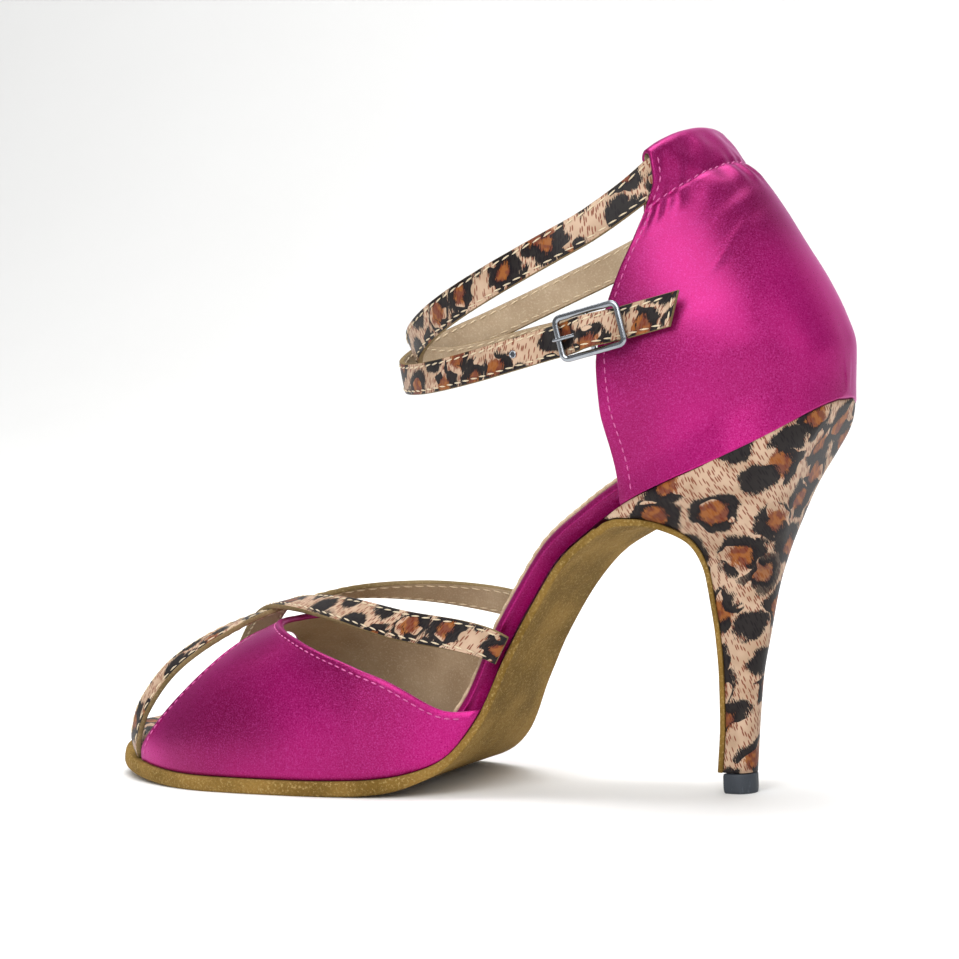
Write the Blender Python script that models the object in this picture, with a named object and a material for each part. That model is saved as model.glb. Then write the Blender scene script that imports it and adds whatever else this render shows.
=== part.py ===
"""Ballroom dance sandal for the left foot, as an assembly of its maker's pieces.

The toe points to -X, the outer (buckle) side faces -Y and the floor is z = 0.
A place on the shoe is given as (forward, side, up): forward from the back of the shoe
towards the toe, side positive towards the outer side, and up from the floor. Lengths are metres.
"""

import math

import bpy
import numpy as np

MM = 0.001

# Driving dimensions
SHOE_LENGTH = 213 * MM
BALL_WIDTH = 76 * MM
HEEL_RISE = 95 * MM
OUTSOLE_THICKNESS = 3.8 * MM
WAIST_THICKNESS = 2.0 * MM
OUTSOLE_MARGIN = 0.9 * MM
WAIST_INSET = 1.2 * MM
TOE_SPRING = 4.0 * MM
INSOLE_THICKNESS = 5.8 * MM
INSOLE_EDGE_ROUND = 1.5 * MM
SOCK_THICKNESS = 0.9 * MM
SOCK_MARGIN = 2.6 * MM
SOCK_FRONT = 163 * MM
UPPER_WALL = 1.6 * MM
CLEARANCE = 0.3 * MM
HEEL_SEAT_LENGTH = 57 * MM
HEEL_ROUND = 25 * MM
TOE_ROUND = 48 * MM
STEM_WIDTH = 9.6 * MM
TOP_PIECE_HEIGHT = 5.0 * MM
FLAP_THICKNESS = 1.3 * MM
COUNTER_HEIGHT = 67 * MM
COUNTER_WIDTH = 66 * MM
CASING_WALL = 1.0 * MM
STRAP_WIDTH = 8.0 * MM
STRAP_THICKNESS = 1.5 * MM
TAB_THICKNESS = 0.8 * MM
TAB_WIDTH = 6.0 * MM
BRIDGE_HEIGHT = 41 * MM
BUCKLE_LENGTH = 18.0 * MM
BUCKLE_WIDTH = 11.9 * MM
BUCKLE_WIRE = 1.6 * MM
PRONG_WIRE = 0.9 * MM

CENTRE_BAR_WIRE = 1.2 * MM
BUCKLE_CORNER = 1.6 * MM
TAIL_SLANT = 2.2 * MM
END_CUT = 0.4 * MM
TOE_REVEAL = 0.7 * MM

# How finely curves are divided
STATION_STEP = 4.4 * MM
STRAP_STEP = 3.3 * MM

# Where one solid lies inside the next
LINING_INSET = UPPER_WALL + 2 * CLEARANCE
TUNNEL = STRAP_THICKNESS + 3 * CLEARANCE
SEAT_UP = OUTSOLE_THICKNESS + HEEL_RISE
TAB_RADIUS = (CENTRE_BAR_WIRE + TAB_THICKNESS) / 2 + CLEARANCE
STRAP_LAY = (BUCKLE_WIRE + STRAP_THICKNESS) / 2 + CLEARANCE
PRONG_LAY = (BUCKLE_WIRE + PRONG_WIRE) / 2 + CLEARANCE
PRONG_HOLE = (0.30 * BUCKLE_LENGTH, PRONG_WIRE + 3.7 * CLEARANCE, 3.3 * STRAP_THICKNESS)
PRONG_SLOT = (0.30 * BUCKLE_LENGTH, PRONG_WIRE + 3.3 * CLEARANCE, 5.4 * TAB_RADIUS)

# Where the edges change along the sole, as shares of SHOE_LENGTH: the insole comes out to the edge
# over the waist and at the toe, and the outsole grows narrower and thinner behind the ball
WAIST_REVEAL = (0.2441, 0.4319, 0.0376)
TOE_REVEAL_START = (0.9671, 0.0188)
WAIST_NARROWS = (0.5164, 0.0845)
WAIST_THINS = (0.5540, 0.1033)


class Table:
    """Rows chosen by hand under named columns. The first column is the place along the row."""

    def __init__(self, columns, rows):
        self.columns = columns
        self.rows = np.array(rows, float)

    def read(self, column, place):
        """The column at a place, on a smooth curve through the rows that never overshoots them."""
        xs, ys = self.rows[:, 0], self.rows[:, self.columns.index(column)]
        place = np.clip(np.asarray(place, float), xs[0], xs[-1])
        steps = np.diff(xs)
        slopes = np.diff(ys) / steps
        grades = np.concatenate([slopes[:1], np.zeros(len(xs) - 2), slopes[-1:]])
        same_way = slopes[:-1] * slopes[1:] > 0
        means = 2 * slopes[:-1] * slopes[1:] / np.where(same_way, slopes[:-1] + slopes[1:], 1)
        grades[1:-1] = np.where(same_way, means, 0)
        row = np.clip(np.searchsorted(xs, place, side="right") - 1, 0, len(xs) - 2)
        t = (place - xs[row]) / steps[row]
        return (
            (1 + 2 * t) * (1 - t) ** 2 * ys[row]
            + t * (1 - t) ** 2 * steps[row] * grades[row]
            + t * t * (3 - 2 * t) * ys[row + 1]
            + t * t * (t - 1) * steps[row] * grades[row + 1]
        )


# The bottom of the last. The station is a share of SHOE_LENGTH, the half widths are shares of
# BALL_WIDTH, and the rises of the outer and the inner edge are shares of HEEL_RISE.
BOTTOM = Table(
    ("station", "outer", "inner", "outer_rise", "inner_rise"),
    (
        (0.000, 0.340, 0.335, 1.000, 1.000),
        (0.060, 0.342, 0.337, 0.914, 0.914),
        (0.120, 0.345, 0.338, 0.851, 0.851),
        (0.180, 0.335, 0.325, 0.798, 0.798),
        (0.240, 0.315, 0.295, 0.739, 0.739),
        (0.285, 0.297, 0.255, 0.672, 0.672),
        (0.330, 0.280, 0.217, 0.597, 0.610),
        (0.370, 0.268, 0.195, 0.480, 0.512),
        (0.410, 0.287, 0.190, 0.323, 0.376),
        (0.442, 0.325, 0.212, 0.162, 0.252),
        (0.476, 0.380, 0.270, 0.060, 0.137),
        (0.498, 0.412, 0.312, 0.034, 0.089),
        (0.535, 0.457, 0.372, 0.013, 0.041),
        (0.580, 0.488, 0.425, 0.004, 0.012),
        (0.660, 0.505, 0.480, 0.000, 0.003),
        (0.720, 0.503, 0.497, 0.000, 0.000),
        (0.800, 0.487, 0.500, 0.000, 0.000),
        (0.900, 0.455, 0.485, 0.000, 0.000),
        (1.000, 0.430, 0.475, 0.000, 0.000),
    ),
)
TOE_TURN = 0.035
SPRING_START = 0.80

# The front face of the heel, from where the sole leaves the insole down to the top piece.
# Forward is a share of HEEL_SEAT_LENGTH and up a share of HEEL_RISE.
BREAST = Table(
    ("way", "forward", "up"),
    (
        (0.00, 1.061, 0.709),
        (0.08, 1.000, 0.731),
        (0.15, 0.930, 0.741),
        (0.23, 0.860, 0.740),
        (0.31, 0.798, 0.7315),
        (0.38, 0.728, 0.7125),
        (0.46, 0.672, 0.684),
        (0.54, 0.635, 0.642),
        (0.62, 0.614, 0.589),
        (0.69, 0.605, 0.516),
        (0.77, 0.5965, 0.421),
        (0.85, 0.593, 0.316),
        (0.92, 0.595, 0.190),
        (1.00, 0.612, 0.056),
    ),
)

# Sections of the heel from the top piece to the seat. The back's forward place is a share of
# HEEL_SEAT_LENGTH, its height a share of HEEL_RISE, way is the front's place on BREAST, and
# width is in stem widths. Seat says how far a section has taken on the outline of the seat.
HEEL = Table(
    ("level", "back", "up", "way", "width", "seat"),
    (
        (0.00, 0.482, 0.056, 1.000, 0.96, 0.00),
        (0.14, 0.462, 0.190, 0.920, 0.94, 0.00),
        (0.28, 0.437, 0.316, 0.850, 1.00, 0.00),
        (0.40, 0.400, 0.421, 0.770, 1.22, 0.00),
        (0.50, 0.358, 0.545, 0.660, 1.75, 0.00),
        (0.60, 0.312, 0.642, 0.510, 2.45, 0.04),
        (0.68, 0.268, 0.721, 0.420, 3.15, 0.12),
        (0.76, 0.210, 0.814, 0.330, 3.85, 0.28),
        (0.84, 0.138, 0.895, 0.250, 4.50, 0.52),
        (0.92, 0.066, 0.965, 0.170, 5.00, 0.78),
        (1.00, 0.012, 1.030, 0.092, 5.30, 1.00),
    ),
)

# The ridge line of the vamp above the outsole, as a share of BRIDGE_HEIGHT.
RIDGE = Table(
    ("station", "height"),
    (
        (0.45, 2.05),
        (0.52, 1.75),
        (0.58, 1.45),
        (0.64, 1.22),
        (0.70, 1.06),
        (0.765, 0.92),
        (0.80, 0.83),
        (0.85, 0.68),
        (0.90, 0.52),
        (0.95, 0.38),
        (1.00, 0.28),
    ),
)

# The cut edges of the vamp, from the sole (climb 0) over the wing to the bridge (climb 1).
# Stations are shares of SHOE_LENGTH.
VAMP_EDGES = Table(
    ("climb", "front", "outer_rear", "inner_rear"),
    (
        (0.00, 0.918, 0.437, 0.455),
        (0.06, 0.918, 0.463, 0.480),
        (0.12, 0.915, 0.492, 0.506),
        (0.20, 0.906, 0.530, 0.541),
        (0.30, 0.890, 0.580, 0.588),
        (0.40, 0.872, 0.624, 0.630),
        (0.52, 0.846, 0.668, 0.672),
        (0.66, 0.820, 0.709, 0.711),
        (0.80, 0.801, 0.737, 0.738),
        (0.92, 0.790, 0.751, 0.751),
        (1.00, 0.787, 0.755, 0.755),
    ),
)

# Rings of the counter from the seat to its top. Forward places are shares of
# HEEL_SEAT_LENGTH, heights shares of COUNTER_HEIGHT above the seat at the ring's back and at its
# front edge, width a share of COUNTER_WIDTH, and sweep the arc from the back to the front edge.
COUNTER = Table(
    ("level", "back", "back_up", "front", "front_up", "width", "sweep", "fullness"),
    (
        (0.00, 0.005, 0.000, 0.905, 0.000, 0.730, 90, 3.0),
        (0.08, -0.003, 0.075, 0.911, 0.090, 0.790, 90, 2.8),
        (0.18, 0.000, 0.179, 0.916, 0.209, 0.875, 90, 2.6),
        (0.30, 0.046, 0.306, 0.921, 0.366, 0.968, 90, 2.4),
        (0.42, 0.119, 0.433, 0.926, 0.515, 0.990, 90, 2.3),
        (0.55, 0.219, 0.575, 0.895, 0.687, 0.955, 86, 2.2),
        (0.68, 0.312, 0.709, 0.837, 0.851, 0.885, 79, 2.1),
        (0.80, 0.404, 0.821, 0.768, 0.994, 0.805, 69, 2.0),
        (0.87, 0.490, 0.884, 0.730, 1.084, 0.758, 62, 2.0),
        (0.93, 0.555, 0.945, 0.694, 1.179, 0.733, 57, 2.0),
        (1.00, 0.622, 1.000, 0.705, 1.269, 0.727, 54, 2.0),
    ),
)
STRAP_LEVEL = 0.945


def end_round(share, power=2.0):
    """From 0 at the tip of a rounded end to 1 where the end's curve meets the side."""
    share = np.clip(share, 0, 1)
    return np.maximum(1 - (1 - share) ** power, 0) ** (1 / power)


def ease(share):
    """From 0 to 1 with level ends."""
    share = np.clip(share, 0, 1)
    return share * share * (3 - 2 * share)


def bottom_widths(forward, inset=0.0):
    """How far the bottom's outline, taken in by inset, reaches to the outer and the inner side."""
    station = forward / SHOE_LENGTH
    ends = end_round((forward - inset) / (HEEL_ROUND - inset))
    ends = ends * end_round((SHOE_LENGTH - inset - forward) / (TOE_ROUND - inset), 1.9)
    turn = TOE_TURN * BALL_WIDTH * np.clip((station - 0.75) / 0.25, 0, 1) ** 2
    outer = BOTTOM.read("outer", station) * BALL_WIDTH - inset + turn
    inner = BOTTOM.read("inner", station) * BALL_WIDTH - inset - turn
    return outer * ends - turn, inner * ends + turn


def bottom_up(forward, side):
    """Height of the last's bottom, which is the outsole's upper face, above the floor."""
    station = forward / SHOE_LENGTH
    outer = BOTTOM.read("outer", station) * BALL_WIDTH
    inner = BOTTOM.read("inner", station) * BALL_WIDTH
    across = np.clip((side + inner) / (outer + inner), 0, 1)
    rise = across * BOTTOM.read("outer_rise", station) + (1 - across) * BOTTOM.read("inner_rise", station)
    spring = TOE_SPRING * np.maximum((station - SPRING_START) / (1 - SPRING_START), 0) ** 2
    return OUTSOLE_THICKNESS + rise * HEEL_RISE + spring


def bottom_point(forward, side, above):
    """The point at a distance above the last's bottom, square to it in the side view."""
    reach = STATION_STEP / 2
    slope = (bottom_up(forward + reach, side) - bottom_up(forward - reach, side)) / (2 * reach)
    length = np.sqrt(1 + slope**2)
    return np.stack([forward - above * slope / length, side, bottom_up(forward, side) + above / length], -1)


def spread(outer, inner, across):
    """Side places at shares across the bottom, from the inner edge (-1) to the outer edge (1)."""
    return ((outer - inner)[:, None] + np.array(across) * (outer + inner)[:, None]) / 2


def unit(vectors):
    return vectors / np.maximum(np.linalg.norm(vectors, axis=-1, keepdims=True), 1e-12)


def grid_normals(grid):
    """Unit normals of a grid of points, its rows' direction crossed with its columns'."""
    return unit(np.cross(np.gradient(grid, axis=0), np.gradient(grid, axis=1)))


def to_axes(points):
    """From (forward, side, up) to X, Y and Z."""
    points = np.asarray(points, float)
    return np.stack([-points[..., 0], -points[..., 1], points[..., 2]], -1)


def finish(name, colour, roughness, metallic=0.0):
    made = bpy.data.materials.new(name)
    made.use_nodes = True
    surface = made.node_tree.nodes["Principled BSDF"]
    surface.inputs["Base Color"].default_value = (*colour, 1)
    surface.inputs["Roughness"].default_value = roughness
    surface.inputs["Metallic"].default_value = metallic
    return made


def new_object(name, points, faces, material, smooth_angle=40):
    mesh = bpy.data.meshes.new(name)
    mesh.from_pydata([tuple(p) for p in to_axes(points)], [], faces)
    mesh.validate()
    if material:
        mesh.materials.append(material)
    obj = bpy.data.objects.new(name, mesh)
    bpy.context.scene.collection.objects.link(obj)
    mesh.shade_smooth()
    mesh.set_sharp_from_angle(angle=math.radians(smooth_angle))
    return obj


def grid_faces(rows, columns, start=0, flip=False):
    faces = []
    for i in range(rows - 1):
        for j in range(columns - 1):
            a = start + i * columns + j
            quad = (a, a + 1, a + columns + 1, a + columns)
            faces.append(quad[::-1] if flip else quad)
    return faces


def signed_volume(points, faces):
    total = 0.0
    for face in faces:
        for b, c in zip(face[1:-1], face[2:]):
            total += np.dot(points[face[0]], np.cross(points[b], points[c]))
    return total


def facing_out(points, faces):
    """The faces of a closed body, turned round if they face in."""
    return faces if signed_volume(to_axes(points), faces) > 0 else [face[::-1] for face in faces]


def sheet(name, front, back, material, **options):
    """A closed body between two grids of the same size, walled all round their border."""
    rows, columns = front.shape[:2]
    count = rows * columns
    faces = grid_faces(rows, columns) + grid_faces(rows, columns, count, flip=True)
    border = list(range(columns))
    border += [i * columns + columns - 1 for i in range(1, rows)]
    border += [(rows - 1) * columns + j for j in range(columns - 2, -1, -1)]
    border += [i * columns for i in range(rows - 2, 0, -1)]
    for a, b in zip(border, border[1:] + border[:1]):
        faces.append((b, a, a + count, b + count))
    points = np.concatenate([front.reshape(-1, 3), back.reshape(-1, 3)])
    return new_object(name, points, facing_out(points, faces), material, **options)


def swept(name, rings, material, closed=False, **options):
    """A closed body through rings of points, capped at both ends unless it joins up."""
    count, size = rings.shape[:2]
    faces = []
    for i in range(count if closed else count - 1):
        for j in range(size):
            a, b = i * size + j, i * size + (j + 1) % size
            step = size if i < count - 1 else -i * size
            faces.append((a, b, b + step, a + step))
    if not closed:
        faces.append(tuple(range(size))[::-1])
        faces.append(tuple((count - 1) * size + j for j in range(size)))
    points = rings.reshape(-1, 3)
    return new_object(name, points, facing_out(points, faces), material, **options)


def smooth_path(points, spacing):
    """Points about spacing apart on a smooth curve through the rows, whose first three columns
    are a place. Any further columns follow along."""
    points = np.asarray(points, float)
    padded = np.concatenate([2 * points[:1] - points[1:2], points, 2 * points[-1:] - points[-2:-1]])
    fine = []
    for p0, p1, p2, p3 in zip(padded, padded[1:], padded[2:], padded[3:]):
        t = np.linspace(0, 1, 24, endpoint=False)[:, None]
        turn = 2 * p1 + (p2 - p0) * t + (2 * p0 - 5 * p1 + 4 * p2 - p3) * t**2
        fine.append((turn + (3 * p1 - p0 - 3 * p2 + p3) * t**3) / 2)
    fine = np.concatenate(fine + [points[-1:]])
    along = np.concatenate([[0], np.cumsum(np.linalg.norm(np.diff(fine[:, :3], axis=0), axis=1))])
    places = np.linspace(0, along[-1], max(int(round(along[-1] / spacing)), 2) + 1)
    return np.stack([np.interp(places, along, fine[:, k]) for k in range(points.shape[1])], -1)


def ribbon(name, path, widthways, width, thickness, material, slant=0.0, **options):
    """A flat strap along a path, its width turned as near to widthways as the path allows. Its
    last end is cut at a slant, and the ring before it takes on half of that."""
    tangent = unit(np.gradient(path, axis=0))
    across = unit(widthways - np.sum(widthways * tangent, -1, keepdims=True) * tangent)
    outward = np.cross(tangent, across)
    corners = ((-1, -1), (1, -1), (1, 1), (-1, 1))
    rings = np.stack([path + across * a * width / 2 + outward * o * thickness / 2 for a, o in corners], 1)
    lean = tangent[-1] * np.array([a for a, _ in corners])[:, None] * slant
    rings[-1] += lean
    rings[-2] += lean / 2
    return swept(name, rings, material, **options)


def tube(name, path, radius, material, sides=8, closed=False, **options):
    """A round wire along a path."""
    path = np.asarray(path, float)
    tangent = np.roll(path, -1, 0) - np.roll(path, 1, 0) if closed else np.gradient(path, axis=0)
    tangent = unit(tangent)
    flat = unit(np.cross(path[1] - path[0], path[len(path) // 2] - path[0]))
    across = unit(flat - np.sum(flat * tangent, -1, keepdims=True) * tangent)
    outward = np.cross(tangent, across)
    rings = []
    for turn in np.arange(sides) * 2 * math.pi / sides:
        rings.append(path + radius * (math.cos(turn) * across + math.sin(turn) * outward))
    return swept(name, np.stack(rings, 1), material, closed=closed, **options)


def combine(target, tool, operation):
    """Applies a Boolean with a helper that stays out of the model."""
    tool.hide_render = True
    tool.display_type = "WIRE"
    change = target.modifiers.new(tool.name, "BOOLEAN")
    change.operation = operation
    change.object = tool
    change.solver = "EXACT"


END_STEPS = np.array((0.12, 1.0, 2.6, 5.0, 8.4, 12.6)) * MM


def stations(start, end):
    """Places along the bottom: the same ones for every layer, and closer ones at the ends."""
    shared = np.arange(0, SHOE_LENGTH, STATION_STEP)
    reach = END_STEPS[-1] + STATION_STEP / 3
    shared = shared[(shared > start + reach) & (shared < end - reach)]
    return np.concatenate([start + END_STEPS, shared, (end - END_STEPS)[::-1]])


def layer(name, start, end, inset, underside, topside, edge_drop, material, across):
    """A layer on the last's bottom between two stations, with rounded ends and a softened edge."""
    forward = stations(start, end)
    outer, inner = bottom_widths(forward, inset(forward))
    side = spread(outer, inner, across)
    station = np.repeat(forward[:, None], len(across), 1)
    rim = np.broadcast_to(np.abs(across) > 0.99, side.shape).copy()
    rim[0], rim[-1] = True, True
    under = bottom_point(station, side, underside + 0 * side)
    over = bottom_point(station, side, topside - np.where(rim, edge_drop, 0.0))
    return sheet(name, over, under, material)


def insole_inset(forward):
    """The insole lies inside the upper, comes out to the edge at the waist and at the bare toe."""
    station = forward / SHOE_LENGTH
    start, end, reach = WAIST_REVEAL
    waist = ease((station - start) / reach) * ease((end - station) / reach)
    toe = ease((station - TOE_REVEAL_START[0]) / TOE_REVEAL_START[1])
    return LINING_INSET - (LINING_INSET - OUTSOLE_MARGIN) * waist - (LINING_INSET - TOE_REVEAL) * toe


def heel_section(level, share):
    """Outer and inner half width of a heel section at a share of the way from front to back."""
    back = HEEL.read("back", level) * HEEL_SEAT_LENGTH
    front = BREAST.read("forward", HEEL.read("way", level)) * HEEL_SEAT_LENGTH
    body = 0.92 + 0.08 * np.sin(math.pi / 2 * np.clip(share / 0.45, 0, 1))
    stem = HEEL.read("width", level) * STEM_WIDTH / 2 * body * end_round((1 - share) / 0.55)
    seat = HEEL.read("seat", level)
    outer, inner = bottom_widths(front + (back - front) * share, CLEARANCE)
    return stem + (outer - stem) * seat, stem + (inner - stem) * seat


def breast_frame(way):
    """Places on the breast line and the direction square to it, away from the heel."""
    reach = 0.01
    forward = BREAST.read("forward", way) * HEEL_SEAT_LENGTH
    up = BREAST.read("up", way) * HEEL_RISE
    ahead = BREAST.read("forward", way + reach) - BREAST.read("forward", way - reach)
    rise = BREAST.read("up", way + reach) - BREAST.read("up", way - reach)
    direction = unit(np.stack([ahead * HEEL_SEAT_LENGTH, rise * HEEL_RISE], -1))
    return forward, up, np.stack([-direction[..., 1], direction[..., 0]], -1)


def heel_rings(levels, shares):
    """Rings of the heel: the outer side from front to back, then the inner side to the front."""
    rings = []
    for level in levels:
        front, front_up, away = breast_frame(HEEL.read("way", level))
        front, front_up = front - away[0] * CLEARANCE, front_up - away[1] * CLEARANCE
        back = HEEL.read("back", level) * HEEL_SEAT_LENGTH
        back_up = HEEL.read("up", level) * HEEL_RISE
        forward = front + (back - front) * shares
        up = front_up + (back_up - front_up) * shares
        outer, inner = heel_section(level, shares)
        if level == levels[-1]:
            up = np.minimum(bottom_up(forward, outer), bottom_up(forward, -inner))
        sides = [np.stack([forward, outer, up], -1), np.stack([forward, -inner, up], -1)[::-1]]
        rings.append(np.concatenate(sides))
    return np.stack(rings)


def ladder_cap(start, size, flip):
    """Faces across a ring whose points pair up from side to side."""
    faces = []
    for k in range(size // 2 - 1):
        quad = (start + k, start + k + 1, start + size - 2 - k, start + size - 1 - k)
        faces.append(quad[::-1] if flip else quad)
    return faces


def heel_shares():
    """Places along a section, closer together round the back."""
    straight = np.linspace(0, 0.45, 4, endpoint=False)
    turn = np.radians(np.linspace(0, 84, 8))
    return np.concatenate([straight, 0.45 + 0.55 * np.sin(turn)])


def make_heel(material):
    levels = np.concatenate([np.linspace(0, 0.4, 6, endpoint=False), np.linspace(0.4, 1, 17)])
    rings = heel_rings(levels, heel_shares())
    count, size = rings.shape[:2]
    faces = []
    for i in range(count - 1):
        for j in range(size):
            a, b = i * size + j, i * size + (j + 1) % size
            faces.append((a, b, b + size, a + size))
    faces += ladder_cap(0, size, flip=True) + ladder_cap((count - 1) * size, size, flip=False)
    points = rings.reshape(-1, 3)
    return new_object("heel", points, facing_out(points, faces), material)


def make_heel_tip(material):
    ring = heel_rings([0.0, 1.0], heel_shares())[0]
    middle = ring.mean(0)
    low = middle + (ring - middle) * 0.97
    ring[:, 2] = TOP_PIECE_HEIGHT
    mid = ring.copy()
    mid[:, 2] = 0.16 * TOP_PIECE_HEIGHT
    low[:, 2] = 0.0
    return swept("heel_tip", np.stack([low, mid, ring]), material, smooth_angle=30)


def make_outsole(material):
    leave = BREAST.read("forward", 0.0) * HEEL_SEAT_LENGTH
    forward = stations(leave - END_STEPS[0], SHOE_LENGTH + OUTSOLE_MARGIN)[::-1]
    forward = np.concatenate([forward[forward > leave + 0.9 * STATION_STEP], [leave]])
    narrow = ease((WAIST_NARROWS[0] - forward / SHOE_LENGTH) / WAIST_NARROWS[1])
    inset = -OUTSOLE_MARGIN + (OUTSOLE_MARGIN + WAIST_INSET) * narrow
    outer, inner = bottom_widths(forward, inset)
    thin = ease((WAIST_THINS[0] - forward / SHOE_LENGTH) / WAIST_THINS[1])
    thickness = OUTSOLE_THICKNESS - (OUTSOLE_THICKNESS - WAIST_THICKNESS) * thin
    across = (-1, -0.5, 0, 0.5, 1)
    side = spread(outer, inner, across)
    station = np.repeat(forward[:, None], len(across), 1)
    over = bottom_point(station, side, 0 * side)
    under = bottom_point(station, side, 0 * side - thickness[:, None])
    under[..., 2] = np.maximum(under[..., 2], 0.0)
    way = np.linspace(0.05, 1, 20)
    levels = np.linspace(0, 1, 60)
    fronts = np.array([heel_section(level, 0.0) for level in levels])
    ways = HEEL.read("way", levels)
    flap_outer = np.interp(way, ways[::-1], fronts[::-1, 0])
    flap_inner = np.interp(way, ways[::-1], fronts[::-1, 1])
    lead = ease(way / 0.16)
    flap_outer = outer[-1] + (flap_outer - outer[-1]) * lead
    flap_inner = inner[-1] + (flap_inner - inner[-1]) * lead
    flap_forward, flap_up, away = breast_frame(way)
    depth = WAIST_THICKNESS - (WAIST_THICKNESS - FLAP_THICKNESS) * ease(way / 0.5)
    flap_side = spread(flap_outer, flap_inner, across)
    near = np.stack(np.broadcast_arrays(flap_forward[:, None], flap_side, flap_up[:, None]), -1)
    shift = np.stack([away[:, 0], 0 * depth, away[:, 1]], -1) * depth[:, None]
    over = np.concatenate([over, near])
    under = np.concatenate([under, near + shift[:, None, :]])
    return sheet("outsole", over, under, material)


def vamp_point(forward, angle):
    """The vamp's outer face: a section at a station, turned from the outer edge (0) to the inner (pi)."""
    outer, inner = bottom_widths(forward)
    half = np.where(angle < math.pi / 2, outer, inner)
    edge_up = np.where(angle < math.pi / 2, bottom_up(forward, outer), bottom_up(forward, -inner))
    edge_up = edge_up + 1.5 * CLEARANCE
    ridge = OUTSOLE_THICKNESS + RIDGE.read("height", forward / SHOE_LENGTH) * BRIDGE_HEIGHT
    cos, sin = np.cos(angle), np.sin(angle)
    belly = 1 + 0.05 * np.sin(2 * np.minimum(angle, math.pi - angle))
    side = np.sign(cos) * np.abs(cos) ** 0.82 * half * belly
    return np.stack([forward, side, edge_up + (ridge - edge_up) * sin**0.92], -1)


def make_vamp(material):
    angle = np.linspace(0, math.pi, 37)
    climb = 1 - np.abs(angle / (math.pi / 2) - 1)
    front = VAMP_EDGES.read("front", climb) * SHOE_LENGTH
    outer_rear, inner_rear = VAMP_EDGES.read("outer_rear", climb), VAMP_EDGES.read("inner_rear", climb)
    rear = np.where(angle < math.pi / 2, outer_rear, inner_rear)
    share = np.linspace(0, 1, 13)[:, None]
    forward = front + (rear * SHOE_LENGTH - front) * share
    outside = vamp_point(forward, np.broadcast_to(angle, forward.shape))
    normal = grid_normals(outside)
    if normal[6, 18, 2] < 0:
        normal = -normal
    inside = outside - normal * UPPER_WALL
    floor = bottom_up(inside[..., 0], inside[..., 1]) + CLEARANCE
    inside[..., 2] = np.maximum(inside[..., 2], floor)
    return sheet("vamp", outside, inside, material)


# The crossed straps over the forefoot, each from the sole beside the toes over the bridge to the
# far waist. Station is a share of SHOE_LENGTH, side of BALL_WIDTH / 2 and up of BRIDGE_HEIGHT, and
# the last three say which way the strap's outer face looks.
OVER_STRAP = (
    (0.940, -0.605, 0.178, 0.7, -0.7, 0.1),
    (0.938, -0.640, 0.270, 0.6, -0.7, 0.3),
    (0.922, -0.650, 0.480, 0.5, -0.7, 0.5),
    (0.888, -0.540, 0.730, 0.4, -0.6, 0.7),
    (0.842, -0.320, 0.945, 0.3, -0.4, 0.9),
    (0.785, -0.030, 1.100, 0.2, 0.0, 1.0),
    (0.710, 0.300, 1.150, 0.0, 0.4, 0.9),
    (0.625, 0.560, 1.130, -0.1, 0.7, 0.7),
    (0.535, 0.700, 1.055, -0.1, 0.9, 0.4),
    (0.460, 0.690, 1.000, -0.1, 1.0, 0.2),
    (0.425, 0.640, 0.950, -0.1, 1.0, 0.0),
    (0.407, 0.600, 0.900, -0.1, 1.0, -0.1),
)
UNDER_STRAP = (
    (0.940, 0.535, 0.178, 0.7, 0.7, 0.1),
    (0.938, 0.565, 0.270, 0.6, 0.7, 0.3),
    (0.922, 0.575, 0.480, 0.5, 0.7, 0.5),
    (0.888, 0.490, 0.730, 0.4, 0.6, 0.7),
    (0.842, 0.300, 0.925, 0.3, 0.4, 0.9),
    (0.785, 0.030, 1.073, 0.2, 0.0, 1.0),
    (0.710, -0.300, 1.165, 0.0, -0.4, 0.9),
    (0.625, -0.530, 1.165, -0.1, -0.7, 0.7),
    (0.535, -0.620, 1.110, -0.1, -0.9, 0.4),
    (0.470, -0.520, 1.050, -0.1, -1.0, 0.2),
    (0.440, -0.445, 0.970, -0.1, -1.0, 0.0),
    (0.420, -0.415, 0.900, -0.1, -1.0, -0.1),
)


def vamp_strap(name, rows, material):
    rows = np.array(rows)
    rows[:, :3] *= (SHOE_LENGTH, BALL_WIDTH / 2, BRIDGE_HEIGHT)
    path = smooth_path(rows, STRAP_STEP)
    tangent = unit(np.gradient(path[:, :3], axis=0))
    across = np.cross(unit(path[:, 3:]), tangent)
    return ribbon(name, path[:, :3], across, STRAP_WIDTH, STRAP_THICKNESS, material)


def make_vamp_straps(material):
    straps = vamp_strap("vamp_straps", OVER_STRAP, material)
    combine(straps, vamp_strap("under_strap", UNDER_STRAP, None), "UNION")
    return straps


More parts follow.
